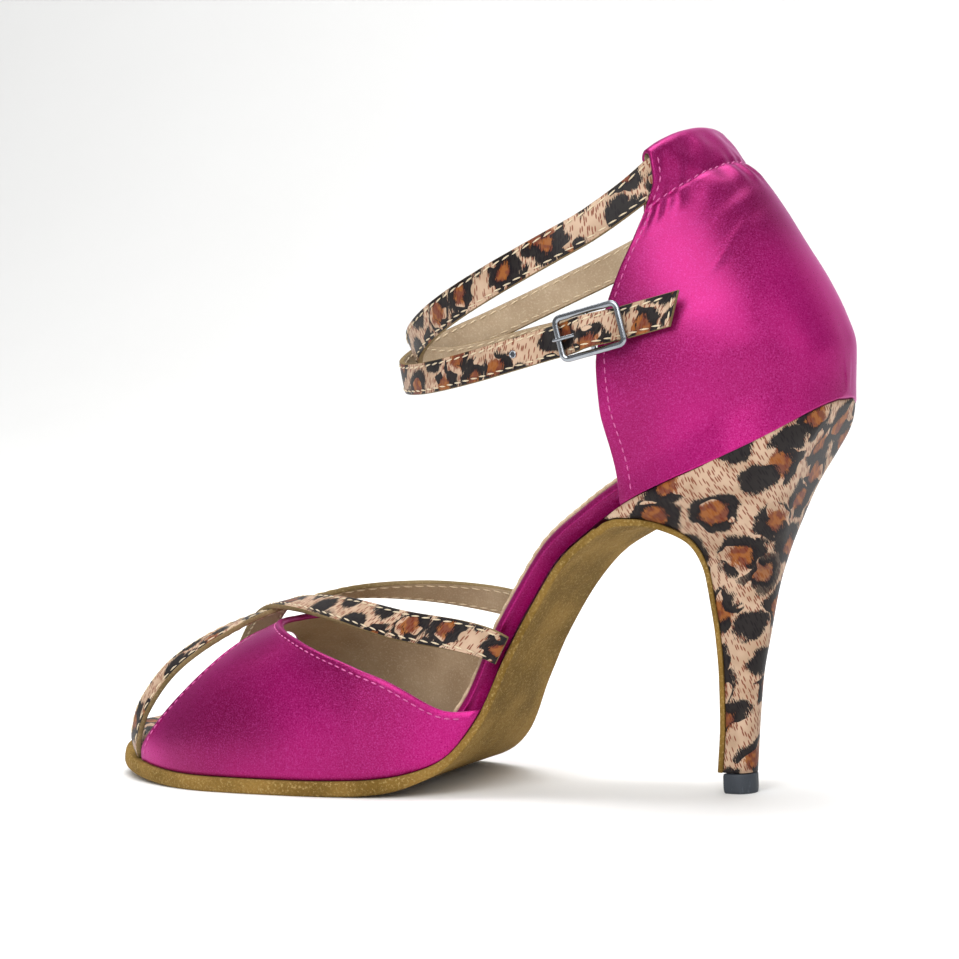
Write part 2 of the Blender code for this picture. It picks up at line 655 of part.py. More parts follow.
def counter_point(level, share):
    """The counter's outer face at a level, from the inner front edge (-1) round the back to the
    outer front edge (1)."""
    sweep = np.radians(COUNTER.read("sweep", level))
    power = 2 / COUNTER.read("fullness", level)
    turn = np.abs(share) * sweep
    level_out = np.maximum(np.cos(sweep), 0) ** power
    ahead = (1 - np.maximum(np.cos(turn), 0) ** power) / (1 - level_out)
    aside = np.sin(turn) ** power / np.sin(sweep) ** power
    back = COUNTER.read("back", level) * HEEL_SEAT_LENGTH
    front = COUNTER.read("front", level) * HEEL_SEAT_LENGTH
    forward = back + (front - back) * ahead
    side = aside * COUNTER.read("width", level) * COUNTER_WIDTH / 2
    seat = ease(1 - level / 0.30)
    outer, inner = bottom_widths(np.maximum(forward, END_STEPS[0] / 6))
    side = side + (np.where(share > 0, outer, inner) - side) * seat
    side = np.sign(share) * side
    back_up = SEAT_UP + COUNTER.read("back_up", level) * COUNTER_HEIGHT
    seat_front = COUNTER.rows[0, 3] * HEEL_SEAT_LENGTH
    front_up = bottom_up(seat_front, 0.0) + COUNTER.read("front_up", level) * COUNTER_HEIGHT
    up = back_up + (front_up - back_up) * ahead
    low = bottom_up(forward, side)
    return np.stack([forward, side, up + (low - up) * ease(1 - level / 0.08) + 1.5 * CLEARANCE], -1)


def counter_frame(level, share):
    """Place, outward direction and upward direction on the counter's outer face."""
    reach = 0.004
    share = np.where(np.abs(share) < 2 * reach, np.where(share < 0, -2, 2) * reach, share)
    place = counter_point(level, share)
    along = counter_point(level, share + reach) - counter_point(level, share - reach)
    climb = counter_point(np.minimum(level + reach, 1), share) - counter_point(level - reach, share)
    outward = unit(np.cross(along, climb))
    return place, -outward, unit(climb)


def make_counter(material):
    shares = np.linspace(-1, 1, 27)
    levels = np.array([0, 0.05, 0.11, 0.19, 0.28, 0.38, 0.48, 0.58, 0.68, 0.78, 0.85, 0.885, 0.94, 1.0])
    share, level = np.meshgrid(shares, levels)
    outside = counter_point(level, share)
    normal = grid_normals(outside)
    if normal[6, 13, 0] > 0:
        normal = -normal
    wall = UPPER_WALL + (CASING_WALL - UPPER_WALL) * ease((level - 0.80) / 0.08)
    inside = outside - normal * wall[..., None]
    inside[0, :, 2] = bottom_up(inside[0, :, 0], inside[0, :, 1]) + 1.5 * CLEARANCE
    top, out, up = outside[-1], normal[-1], unit(outside[-1] - outside[-2])
    centre = top - out * (CASING_WALL + TUNNEL / 2)
    skin_rows, lining_rows = [outside], [inside]
    for turn in np.radians((45, 90, 135)):
        swing = out * math.cos(turn) + up * math.sin(turn)
        skin_rows.append((centre + swing * (CASING_WALL + TUNNEL / 2))[None])
        lining_rows.append((centre + swing * TUNNEL / 2)[None])
    for row, close in ((-1, 0.0), (-2, 0.0), (-3, 0.0), (-4, TUNNEL - 2 * CLEARANCE)):
        depth = CASING_WALL + TUNNEL - close
        lining_rows.append((outside[row] - normal[row] * depth)[None])
        skin_rows.append((outside[row] - normal[row] * (depth + CASING_WALL))[None])
    counter = sheet("counter", np.concatenate(skin_rows), np.concatenate(lining_rows), material)
    combine(counter, strap_room(), "DIFFERENCE")
    return counter


# The ankle strap from its sewn end on the inner side, round the front and up to the casing. Forward
# is a share of HEEL_SEAT_LENGTH, side of COUNTER_WIDTH / 2 and up of COUNTER_HEIGHT above the seat,
# and the last number is the lean of the strap's width from upright in degrees.
STRAP_START = (
    (0.8070, -1.0273, 0.3537, 13),
    (1.0351, -1.0606, 0.3358, 13),
    (1.2632, -1.0727, 0.3104, 13),
    (1.5263, -1.0061, 0.2716, 13),
    (1.7719, -0.8273, 0.2239, 12),
    (1.9333, -0.5545, 0.1806, 10),
    (2.0386, -0.2576, 0.1582, 10),
    (2.0702, 0.0606, 0.1731, 16),
    (2.0228, 0.3636, 0.2179, 25),
    (1.8947, 0.6515, 0.2806, 30),
    (1.6842, 0.8970, 0.3657, 33),
    (1.4035, 1.0424, 0.4716, 33),
    (1.1316, 1.0303, 0.5806, 33),
    (0.9737, 0.8970, 0.6597, 33),
    (0.8070, 0.7636, 0.7642, 28),
)
# The same from the casing's other end, round the front and back to the buckle.
STRAP_FINISH = (
    (0.8070, -0.7636, 0.7731, 28),
    (0.9737, -0.8970, 0.6866, 33),
    (1.1316, -1.0364, 0.6179, 33),
    (1.4035, -1.0667, 0.5164, 33),
    (1.6842, -0.9515, 0.4090, 33),
    (1.9298, -0.7455, 0.3060, 20),
    (2.0772, -0.4061, 0.2269, 13),
    (2.1263, -0.0606, 0.1672, 11),
    (2.1158, 0.2061, 0.1284, 12),
    (2.0404, 0.4606, 0.1075, 10),
    (1.8947, 0.6970, 0.1075, 10),
    (1.7105, 0.8848, 0.1254, 12),
    (1.5088, 1.0182, 0.1552, 14),
    (1.3421, 1.1030, 0.1851, 15),
)
# The strap through the buckle: along it as a share of BUCKLE_LENGTH, out of its plane of STRAP_LAY.
STRAP_WEAVE = (
    (0.7222, -1.0270),
    (0.5833, -1.1081),
    (0.4444, -1.0811),
    (0.2556, -0.0541),
    (0.1333, 1.0811),
    (0.0000, 1.5750),
    (-0.1333, 1.0811),
    (-0.2556, -0.0541),
    (-0.4444, -1.0811),
    (-0.6667, -1.2432),
    (-0.9167, -1.3514),
    (-1.1944, -1.4054),
)
# The short loop that holds the buckle, from the counter under the bar and round it: both numbers
# are shares of TAB_RADIUS.
TAB_LOOP = (
    (-11.5385, -3.4615),
    (-7.6923, -3.5000),
    (-4.6154, -3.2692),
    (-2.4615, -2.3077),
    (-1.0769, -1.3462),
    (-0.0769, -1.0000),
    (0.7077, -0.7077),
    (1.0000, 0.0000),
    (0.7077, 0.7077),
    (0.0000, 1.0000),
    (-0.7077, 0.7077),
)
# The prong, curled round the bar and lying on the front bar: shares of BUCKLE_LENGTH and PRONG_LAY.
PRONG_PATH = (
    (-0.0250, -0.8065),
    (-0.0639, -0.4194),
    (-0.0722, 0.0645),
    (-0.0528, 0.6129),
    (0.0000, 0.9032),
    (0.1333, 0.9677),
    (0.2778, 1.0452),
    (0.4222, 1.0452),
    (0.5222, 0.9355),
)
BUCKLE_CENTRE = (0.9035, 1.1515, 0.2746)
BUCKLE_FORWARD = unit(np.array((19.0, 2.0, -4.6)))
BUCKLE_LEAN = 16
# What lies behind and above this place is inside the casing
CASING_MOUTH = (0.877, 0.0, 0.645)


def leaning(degrees):
    turn = np.radians(degrees)
    return np.stack([np.sin(turn), 0 * turn, np.cos(turn)], -1)


def buckle_axes():
    """Forward, width and outward directions of the buckle."""
    width = leaning(np.array(float(BUCKLE_LEAN)))
    width = unit(width - np.dot(width, BUCKLE_FORWARD) * BUCKLE_FORWARD)
    return BUCKLE_FORWARD, width, np.cross(width, BUCKLE_FORWARD)


def ankle_place(shares):
    """A place from shares of the heel seat, half the counter's width and its height."""
    sizes = (HEEL_SEAT_LENGTH, COUNTER_WIDTH / 2, COUNTER_HEIGHT)
    return np.array(shares) * sizes + (0, 0, SEAT_UP)


def on_buckle(along, across, out):
    """A place given along, across and out of the buckle."""
    forward, width, outward = buckle_axes()
    return ankle_place(BUCKLE_CENTRE) + along * forward + across * width + out * outward


def buckle_path(rows, along_size, out_size, spacing):
    """A path in the middle of the buckle from rows of shares of two sizes."""
    places = [on_buckle(along * along_size, 0, out * out_size) for along, out in rows]
    return smooth_path(np.array(places), spacing)


def buckle_block(name, along, out, size):
    """A straight block on the buckle's own directions, for cutting."""
    corners = []
    for a in (-0.5, 0.5):
        for c, o in ((-0.5, -0.5), (0.5, -0.5), (0.5, 0.5), (-0.5, 0.5)):
            corners.append(on_buckle(along + a * size[0], c * size[1], out + o * size[2]))
    return swept(name, np.array(corners).reshape(2, 4, 3), None)


def strap_loop():
    """The ankle strap's path up to the buckle: places, and the directions of its width."""
    shares = np.linspace(0.93, -0.93, 11)
    place, outward, climb = counter_frame(np.full(11, STRAP_LEVEL), shares)
    casing = np.concatenate([place - outward * (CASING_WALL + TUNNEL / 2), climb], 1)
    parts = []
    for rows in (STRAP_START, STRAP_FINISH):
        rows = np.array(rows)
        parts.append(np.concatenate([ankle_place(rows[:, :3]), leaning(rows[:, 3])], 1))
    return smooth_path(np.concatenate([parts[0], casing, parts[1]]), STRAP_STEP)


def strap_room():
    """The room that the strap takes inside the casing and at its two mouths."""
    path = strap_loop()
    front, _, low = ankle_place(CASING_MOUTH)
    path = path[(path[:, 0] < front) & (path[:, 2] > low)]
    room = 2.4 * CLEARANCE
    return ribbon("strap_room", path[:, :3], path[:, 3:], STRAP_WIDTH + room, STRAP_THICKNESS + room, None)


def make_ankle_strap(material):
    weave = buckle_path(STRAP_WEAVE, BUCKLE_LENGTH, STRAP_LAY, STRAP_STEP / 2)
    widthways = np.broadcast_to(buckle_axes()[1], weave.shape)
    path = np.concatenate([strap_loop(), np.concatenate([weave, widthways], 1)])
    size = (STRAP_WIDTH, STRAP_THICKNESS)
    strap = ribbon("ankle_strap", path[:, :3], path[:, 3:], *size, material, TAIL_SLANT)
    hole = buckle_block("prong_hole", 0.161 * BUCKLE_LENGTH, PRONG_LAY, PRONG_HOLE)
    combine(strap, hole, "DIFFERENCE")
    return strap


def make_buckle_tab(material):
    path = buckle_path(TAB_LOOP, TAB_RADIUS, TAB_RADIUS, STRAP_STEP / 4)
    widthways = np.broadcast_to(buckle_axes()[1], path.shape)
    tab = ribbon("buckle_tab", path, widthways, TAB_WIDTH, TAB_THICKNESS, material)
    combine(tab, buckle_block("prong_slot", -0.15 * TAB_RADIUS, 0.0, PRONG_SLOT), "DIFFERENCE")
    return tab


def make_buckle_frame(material):
    length, width = BUCKLE_LENGTH - BUCKLE_WIRE, BUCKLE_WIDTH - BUCKLE_WIRE
    path = []
    for quarter, (x, y) in enumerate(((1, 1), (-1, 1), (-1, -1), (1, -1))):
        for turn in np.radians(np.array((0, 30, 60, 90)) + 90 * quarter):
            along = x * (length / 2 - BUCKLE_CORNER) + BUCKLE_CORNER * math.cos(turn)
            across = y * (width / 2 - BUCKLE_CORNER) + BUCKLE_CORNER * math.sin(turn)
            path.append(on_buckle(along, across, 0.0))
    frame = tube("buckle_frame", path, BUCKLE_WIRE / 2, material, closed=True)
    ends = ((0, -0.5), (0.001, 0.0), (0, 0.5))
    bar = [on_buckle(along * length, across * width, 0.0) for along, across in ends]
    bar = tube("centre_bar", bar, CENTRE_BAR_WIRE / 2, None)
    combine(frame, bar, "UNION")
    return frame


def make_buckle_prong(material):
    path = buckle_path(PRONG_PATH, BUCKLE_LENGTH, PRONG_LAY, STRAP_STEP / 5)
    return tube("buckle_prong", path, PRONG_WIRE / 2, material, sides=6)


def clear_scene():
    for obj in list(bpy.data.objects):
        bpy.data.objects.remove(obj, do_unlink=True)


def centre_on_origin():
    """Moves everything so that the middle of the whole shoe is at x = y = 0."""
    shown = [obj for obj in bpy.data.objects if not obj.hide_render]
    places = np.concatenate([np.array([vert.co for vert in obj.data.vertices]) for obj in shown])
    middle = (places.min(axis=0) + places.max(axis=0)) / 2
    for obj in bpy.data.objects:
        for vert in obj.data.vertices:
            vert.co.x -= middle[0]
            vert.co.y -= middle[1]


def main():
    clear_scene()
    satin = finish("satin", (0.55, 0.004, 0.19), 0.35)
    leopard = finish("leopard_satin", (0.55, 0.38, 0.26), 0.4)
    suede = finish("sole_suede", (0.24, 0.13, 0.035), 0.95)
    sock_cloth = finish("sock_suede", (0.5, 0.38, 0.26), 0.95)
    rubber = finish("rubber", (0.025, 0.028, 0.033), 0.6)
    chrome = finish("chrome", (0.75, 0.76, 0.78), 0.15, 1.0)
    make_outsole(suede)
    insole_floor = 1.4 * CLEARANCE
    layer("insole", END_CUT + LINING_INSET, SHOE_LENGTH - TOE_REVEAL, insole_inset, insole_floor,
          insole_floor + INSOLE_THICKNESS, INSOLE_EDGE_ROUND, satin, (-1, -0.94, -0.5, 0, 0.5, 0.94, 1))
    sock_floor = insole_floor + INSOLE_THICKNESS + 1.2 * CLEARANCE
    layer("sock", END_CUT + LINING_INSET + SOCK_MARGIN, SOCK_FRONT, lambda f: insole_inset(f) + SOCK_MARGIN,
          sock_floor, sock_floor + SOCK_THICKNESS, 0.0, sock_cloth, (-1, -0.5, 0, 0.5, 1))
    make_heel(leopard)
    make_heel_tip(rubber)
    make_vamp(satin)
    make_vamp_straps(leopard)
    make_counter(satin)
    make_ankle_strap(leopard)
    make_buckle_tab(leopard)
    make_buckle_frame(chrome)
    make_buckle_prong(chrome)
    centre_on_origin()


if __name__ == "__main__":
    main()
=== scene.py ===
"""Looks of a left ballroom dance sandal: magenta satin, leopard print satin, suede and a metal buckle.

Places on the shoe are (forward, side, up) in millimetres: forward from the back of the heel, side
positive towards the outer side with the buckle, up from the floor. `Piece` turns them into the frame
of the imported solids, in metres.
"""

import logging
import math
from dataclasses import dataclass
from enum import Enum

import bpy
import numpy as np
from mathutils import Matrix, Vector

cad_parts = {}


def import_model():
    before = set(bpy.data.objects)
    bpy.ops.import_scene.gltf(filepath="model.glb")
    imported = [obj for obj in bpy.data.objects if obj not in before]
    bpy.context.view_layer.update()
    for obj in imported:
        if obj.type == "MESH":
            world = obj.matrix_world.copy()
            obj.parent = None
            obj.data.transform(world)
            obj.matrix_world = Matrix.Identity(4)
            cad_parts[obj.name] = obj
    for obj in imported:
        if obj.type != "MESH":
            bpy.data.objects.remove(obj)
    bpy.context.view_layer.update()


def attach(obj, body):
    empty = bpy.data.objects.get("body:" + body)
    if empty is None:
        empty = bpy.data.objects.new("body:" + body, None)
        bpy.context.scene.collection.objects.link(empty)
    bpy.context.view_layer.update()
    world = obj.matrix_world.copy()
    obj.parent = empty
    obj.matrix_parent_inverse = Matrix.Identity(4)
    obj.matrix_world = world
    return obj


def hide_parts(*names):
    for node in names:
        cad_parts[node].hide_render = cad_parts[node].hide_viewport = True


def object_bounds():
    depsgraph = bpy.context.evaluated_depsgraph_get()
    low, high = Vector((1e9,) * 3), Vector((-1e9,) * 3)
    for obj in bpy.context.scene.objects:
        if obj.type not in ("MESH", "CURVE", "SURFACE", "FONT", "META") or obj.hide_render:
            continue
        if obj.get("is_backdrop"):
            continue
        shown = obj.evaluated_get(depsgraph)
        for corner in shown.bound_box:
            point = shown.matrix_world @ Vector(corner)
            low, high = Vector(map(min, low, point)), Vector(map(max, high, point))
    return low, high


Array = np.ndarray
Triple = tuple[float, float, float]
LOG = logging.getLogger("sandal")
MM = 0.001
MIDDLE = (107.14, 1.34)
UV_NAME = "cloth"


class Slot(Enum):
    """Names of the shoe's material slots."""

    SATIN = "satin"
    LEOPARD = "leopard_satin"
    SOLE = "sole_suede"
    SOCK = "sock_suede"
    RUBBER = "tip_rubber"
    METAL = "buckle_metal"


def linear(code: str) -> Triple:
    """A colour given as six hexadecimal digits, in the linear values that shaders use."""
    parts = [int(code[i : i + 2], 16) / 255 for i in (0, 2, 4)]
    return tuple(c / 12.92 if c <= 0.04045 else ((c + 0.055) / 1.055) ** 2.4 for c in parts)


def unit(vectors: Array) -> Array:
    """Vectors divided by their own length."""
    return vectors / np.maximum(np.linalg.norm(vectors, axis=-1, keepdims=True), 1e-12)


def ease(share: Array | float) -> Array:
    """From 0 to 1 with level ends: 3 t^2 - 2 t^3."""
    share = np.clip(share, 0, 1)
    return share * share * (3 - 2 * share)


def bell(value: Array, centre: float, width: float) -> Array:
    """A bump of height 1 at the centre that falls off as a Gaussian."""
    return np.exp(-(((value - centre) / width) ** 2))


def running(points: Array) -> Array:
    """Lengths along a line of points, from 0."""
    return np.concatenate([[0], np.cumsum(np.linalg.norm(np.diff(points, axis=0), axis=1))])


def show(name: str, data: bpy.types.ID) -> bpy.types.Object:
    """A new object in the scene, made from its data."""
    made = bpy.data.objects.new(name, data)
    bpy.context.scene.collection.objects.link(made)
    return made


class Table:
    """Rows given under named columns, read along a smooth curve through them."""

    def __init__(self, columns: tuple[str, ...], rows: tuple[tuple[float, ...], ...]) -> None:
        """Keeps the rows.

        Args:
            columns: Names of the columns; the first is the place along the row.
            rows: The numbers, one tuple per row, with rising places.
        """
        self.columns = columns
        self.rows = np.array(rows, float)

    def read(self, column: str, place: Array | float) -> Array:
        """The column at a place, as a monotone cubic through the rows.

        Args:
            column: Name of the column.
            place: One place or an array of them.

        Returns:
            The values, which never overshoot the rows.
        """
        xs, ys = self.rows[:, 0], self.rows[:, self.columns.index(column)]
        place = np.clip(np.asarray(place, float), xs[0], xs[-1])
        steps = np.diff(xs)
        slopes = np.diff(ys) / steps
        grades = np.concatenate([slopes[:1], np.zeros(len(xs) - 2), slopes[-1:]])
        same_way = slopes[:-1] * slopes[1:] > 0
        means = 2 * slopes[:-1] * slopes[1:] / np.where(same_way, slopes[:-1] + slopes[1:], 1)
        grades[1:-1] = np.where(same_way, means, 0)
        row = np.clip(np.searchsorted(xs, place, side="right") - 1, 0, len(xs) - 2)
        t = (place - xs[row]) / steps[row]
        return (
            (1 + 2 * t) * (1 - t) ** 2 * ys[row]
            + t * (1 - t) ** 2 * steps[row] * grades[row]
            + t * t * (3 - 2 * t) * ys[row + 1]
            + t * t * (t - 1) * steps[row] * grades[row + 1]
        )


def smooth_path(points: Array, spacing: float) -> Array:
    """Points about evenly spaced on a Catmull-Rom curve through the given rows.

    Args:
        points: Rows whose first three columns are a place; further columns follow along.
        spacing: Distance between the new points, in millimetres.

    Returns:
        The new rows.
    """
    padded = np.concatenate([2 * points[:1] - points[1:2], points, 2 * points[-1:] - points[-2:-1]])
    t = np.linspace(0, 1, 40, endpoint=False)[None, :, None]
    p0, p1, p2, p3 = (padded[i : len(padded) - 3 + i, None, :] for i in range(4))
    fine = (2 * p1 + (p2 - p0) * t + (2 * p0 - 5 * p1 + 4 * p2 - p3) * t**2) / 2
    fine = fine + (3 * p1 - p0 - 3 * p2 + p3) * t**3 / 2
    fine = np.concatenate([fine.reshape(-1, points.shape[1]), points[-1:]])
    along = running(fine[:, :3])
    places = np.linspace(0, along[-1], max(int(round(along[-1] / spacing)), 2) + 1)
    return np.stack([np.interp(places, along, fine[:, k]) for k in range(points.shape[1])], -1)


def grid_lengths(grid: Array) -> Array:
    """Distances along a grid's columns and rows, as flat coordinates in millimetres.

    Args:
        grid: Points, rows by columns.

    Returns:
        Two numbers per point: the running length along its row, measured from the row's middle,
        and the running length down the middle column.
    """
    across = np.cumsum(np.linalg.norm(np.diff(grid, axis=1, prepend=grid[:, :1]), axis=-1), axis=1)
    across = across - across[:, grid.shape[1] // 2, None]
    down = np.cumsum(np.linalg.norm(np.diff(grid, axis=0, prepend=grid[:1]), axis=-1), axis=0)
    return np.stack([across, np.broadcast_to(down[:, grid.shape[1] // 2, None], across.shape)], -1)


def grid_normals(grid: Array) -> Array:
    """Unit normals of a grid: its rows' direction crossed with its columns'."""
    return unit(np.cross(np.gradient(grid, axis=0), np.gradient(grid, axis=1)))


class Piece:
    """A mesh under construction, in the shoe's own places."""

    def __init__(self, name: str) -> None:
        """Starts an empty piece with this object name."""
        self.name = name
        self.points: list[Array] = []
        self.uvs: list[Array] = []
        self.faces: list[Array] = []
        self.slots: list[Array] = []
        self.count = 0

    def add(self, points: Array, uvs: Array) -> int:
        """Adds points with their cloth coordinates and returns the first one's number."""
        start = self.count
        self.points.append(points.reshape(-1, 3))
        self.uvs.append(uvs.reshape(-1, 2))
        self.count += len(self.points[-1])
        return start

    def quads(self, index: Array, slot: int = 0) -> None:
        """Adds the four-sided faces between neighbours of a grid of point numbers."""
        corners = (index[:-1, :-1], index[:-1, 1:], index[1:, 1:], index[1:, :-1])
        faces = np.stack([corner.ravel() for corner in corners], -1)
        self.faces.append(faces)
        self.slots.append(np.full(len(faces), slot))

    def build(self, finishes: list[bpy.types.Material], slot: Slot) -> bpy.types.Object:
        """Makes the object, facing out, smooth and dressed, riding on the shoe.

        Args:
            finishes: Materials, in the order of the faces' slot numbers.
            slot: Not used.

        Returns:
            The new object.
        """
        places = np.concatenate(self.points)
        shoe = np.stack([MIDDLE[0] - places[:, 0], MIDDLE[1] - places[:, 1], places[:, 2]], -1) * MM
        uvs, faces = np.concatenate(self.uvs), np.concatenate(self.faces)
        a, b, c, d = (shoe[faces[:, k]] for k in range(4))
        volume = np.einsum("ij,ij->", a, np.cross(b, c)) + np.einsum("ij,ij->", a, np.cross(c, d))
        if volume < 0:
            faces = faces[:, ::-1]
        mesh = bpy.data.meshes.new(self.name)
        mesh.vertices.add(len(shoe))
        mesh.vertices.foreach_set("co", shoe.ravel())
        mesh.loops.add(faces.size)
        mesh.loops.foreach_set("vertex_index", faces.ravel())
        mesh.polygons.add(len(faces))
        mesh.polygons.foreach_set("loop_start", np.arange(0, faces.size, 4))
        mesh.polygons.foreach_set("material_index", np.concatenate(self.slots))
        mesh.update(calc_edges=True)
        layer = mesh.uv_layers.new(name=UV_NAME)
        layer.data.foreach_set("uv", uvs[faces.ravel()].ravel())
        mesh.validate()
        mesh.shade_smooth()
        for finish in finishes:
            mesh.materials.append(finish)
        made = show(self.name, mesh)
        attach(made, "root")
        LOG.info("%s: %d faces", self.name, len(faces))
        return made


def border(rows: int, columns: int) -> Array:
    """Numbers of a grid's border points, once round."""
    index = np.arange(rows * columns).reshape(rows, columns)
    return np.concatenate([index[0], index[1:, -1], index[-1, -2::-1], index[-2:0:-1, 0]])


def add_sheet(
    piece: Piece,
    front: Array,
    back: Array,
    uvs: Array,
    slots: tuple[int, int, int] = (0, 1, 0),
    bulge: float = 0.5,
    steps: int = 3,
    wrap: float = 0.0,
) -> None:
    """Adds a closed sheet between two grids, its edge rounded as part of a circle.

    Args:
        piece: The piece that takes the faces.
        front: Points of the outer face, rows by columns.
        back: Points of the inner face, of the same size.
        uvs: Cloth coordinates of both faces.
        slots: Material numbers of the front, the back and the edge.
        bulge: How far the edge stands out, in half thicknesses.
        steps: Rows of points round the edge.
        wrap: How far the cloth runs on over the edge, in millimetres.
    """
    rows, columns = front.shape[:2]
    index = np.arange(rows * columns).reshape(rows, columns)
    first = piece.add(front, uvs)
    under = uvs.copy()
    under[[0, -1], :, 0] += np.array([[-wrap], [wrap]])
    under[:, [0, -1], 1] += np.array([[-wrap, wrap]])
    second = piece.add(back, under)
    piece.quads(index + first, slots[0])
    piece.quads((index + second)[:, ::-1], slots[1])
    out = np.zeros_like(front)
    out[0] += unit(front[0] - front[1])
    out[-1] += unit(front[-1] - front[-2])
    out[:, 0] += unit(front[:, 0] - front[:, 1])
    out[:, -1] += unit(front[:, -1] - front[:, -2])
    loop = border(rows, columns)
    out = unit(out.reshape(-1, 3)[loop])
    top, low = front.reshape(-1, 3)[loop], back.reshape(-1, 3)[loop]
    middle, half = (top + low) / 2, (top - low) / 2
    size = np.linalg.norm(half, axis=-1, keepdims=True)
    strip = [loop + first]
    for turn in np.linspace(0, math.pi, steps + 2)[1:-1]:
        ring = middle + math.cos(turn) * half + math.sin(turn) * bulge * size * out
        share = turn / math.pi
        start = piece.add(ring, ((1 - share) * uvs + share * under).reshape(-1, 2)[loop])
        strip.append(np.arange(len(loop)) + start)
    strip.append(loop + second)
    edge = np.stack(strip)
    piece.quads(np.concatenate([edge, edge[:, :1]], 1)[:, ::-1], slots[2])


def add_tube(
    piece: Piece, rings: Array, uvs: Array | None = None, slot: int = 0, closed: bool = False
) -> None:
    """Adds a body through rings of points, with its ends drawn to their middles unless it joins up.

    Args:
        piece: The piece that takes the faces.
        rings: Points, one row per ring.
        uvs: Cloth coordinates, of the same shape, or none for a plain finish.
        slot: Material number.
        closed: True where the last ring meets the first.
    """
    if uvs is None:
        uvs = np.zeros((*rings.shape[:2], 2))
    if not closed:
        ends = rings[[0, -1]].mean(axis=1, keepdims=True)
        tips = np.repeat(ends, rings.shape[1], 1)
        rings = np.concatenate([tips[:1], rings, tips[1:]])
        uvs = np.concatenate([uvs[:1], uvs, uvs[-1:]])
    count, size = rings.shape[:2]
    start = piece.add(rings, uvs)
    index = np.arange(count * size).reshape(count, size) + start
    index = np.concatenate([index, index[:, :1]], 1)
    if closed:
        index = np.concatenate([index, index[:1]])
    piece.quads(index, slot)


def wire_rings(path: Array, side: Array, profile: Array, closed: bool = False) -> Array:
    """A profile carried along a path.

    Args:
        path: Points of the path.
        side: Direction of the profile's first axis at each point, squared to the path here.
        profile: The profile's points on its two axes.
        closed: True where the path joins up.

    Returns:
        Rings: path + profile_1 * side + profile_2 * (path direction x side).
    """
    ahead = np.roll(path, -1, 0) - np.roll(path, 1, 0) if closed else np.gradient(path, axis=0)
    ahead = unit(ahead)
    side = unit(side - np.sum(side * ahead, -1, keepdims=True) * ahead)
    other = np.cross(ahead, side)
    return path[:, None] + profile[None, :, :1] * side[:, None] + profile[None, :, 1:] * other[:, None]


def circle(radius: float, sides: int) -> Array:
    """Points of a circle as a profile."""
    turn = np.arange(sides) * 2 * math.pi / sides
    return np.stack([np.cos(turn), np.sin(turn)], -1) * radius


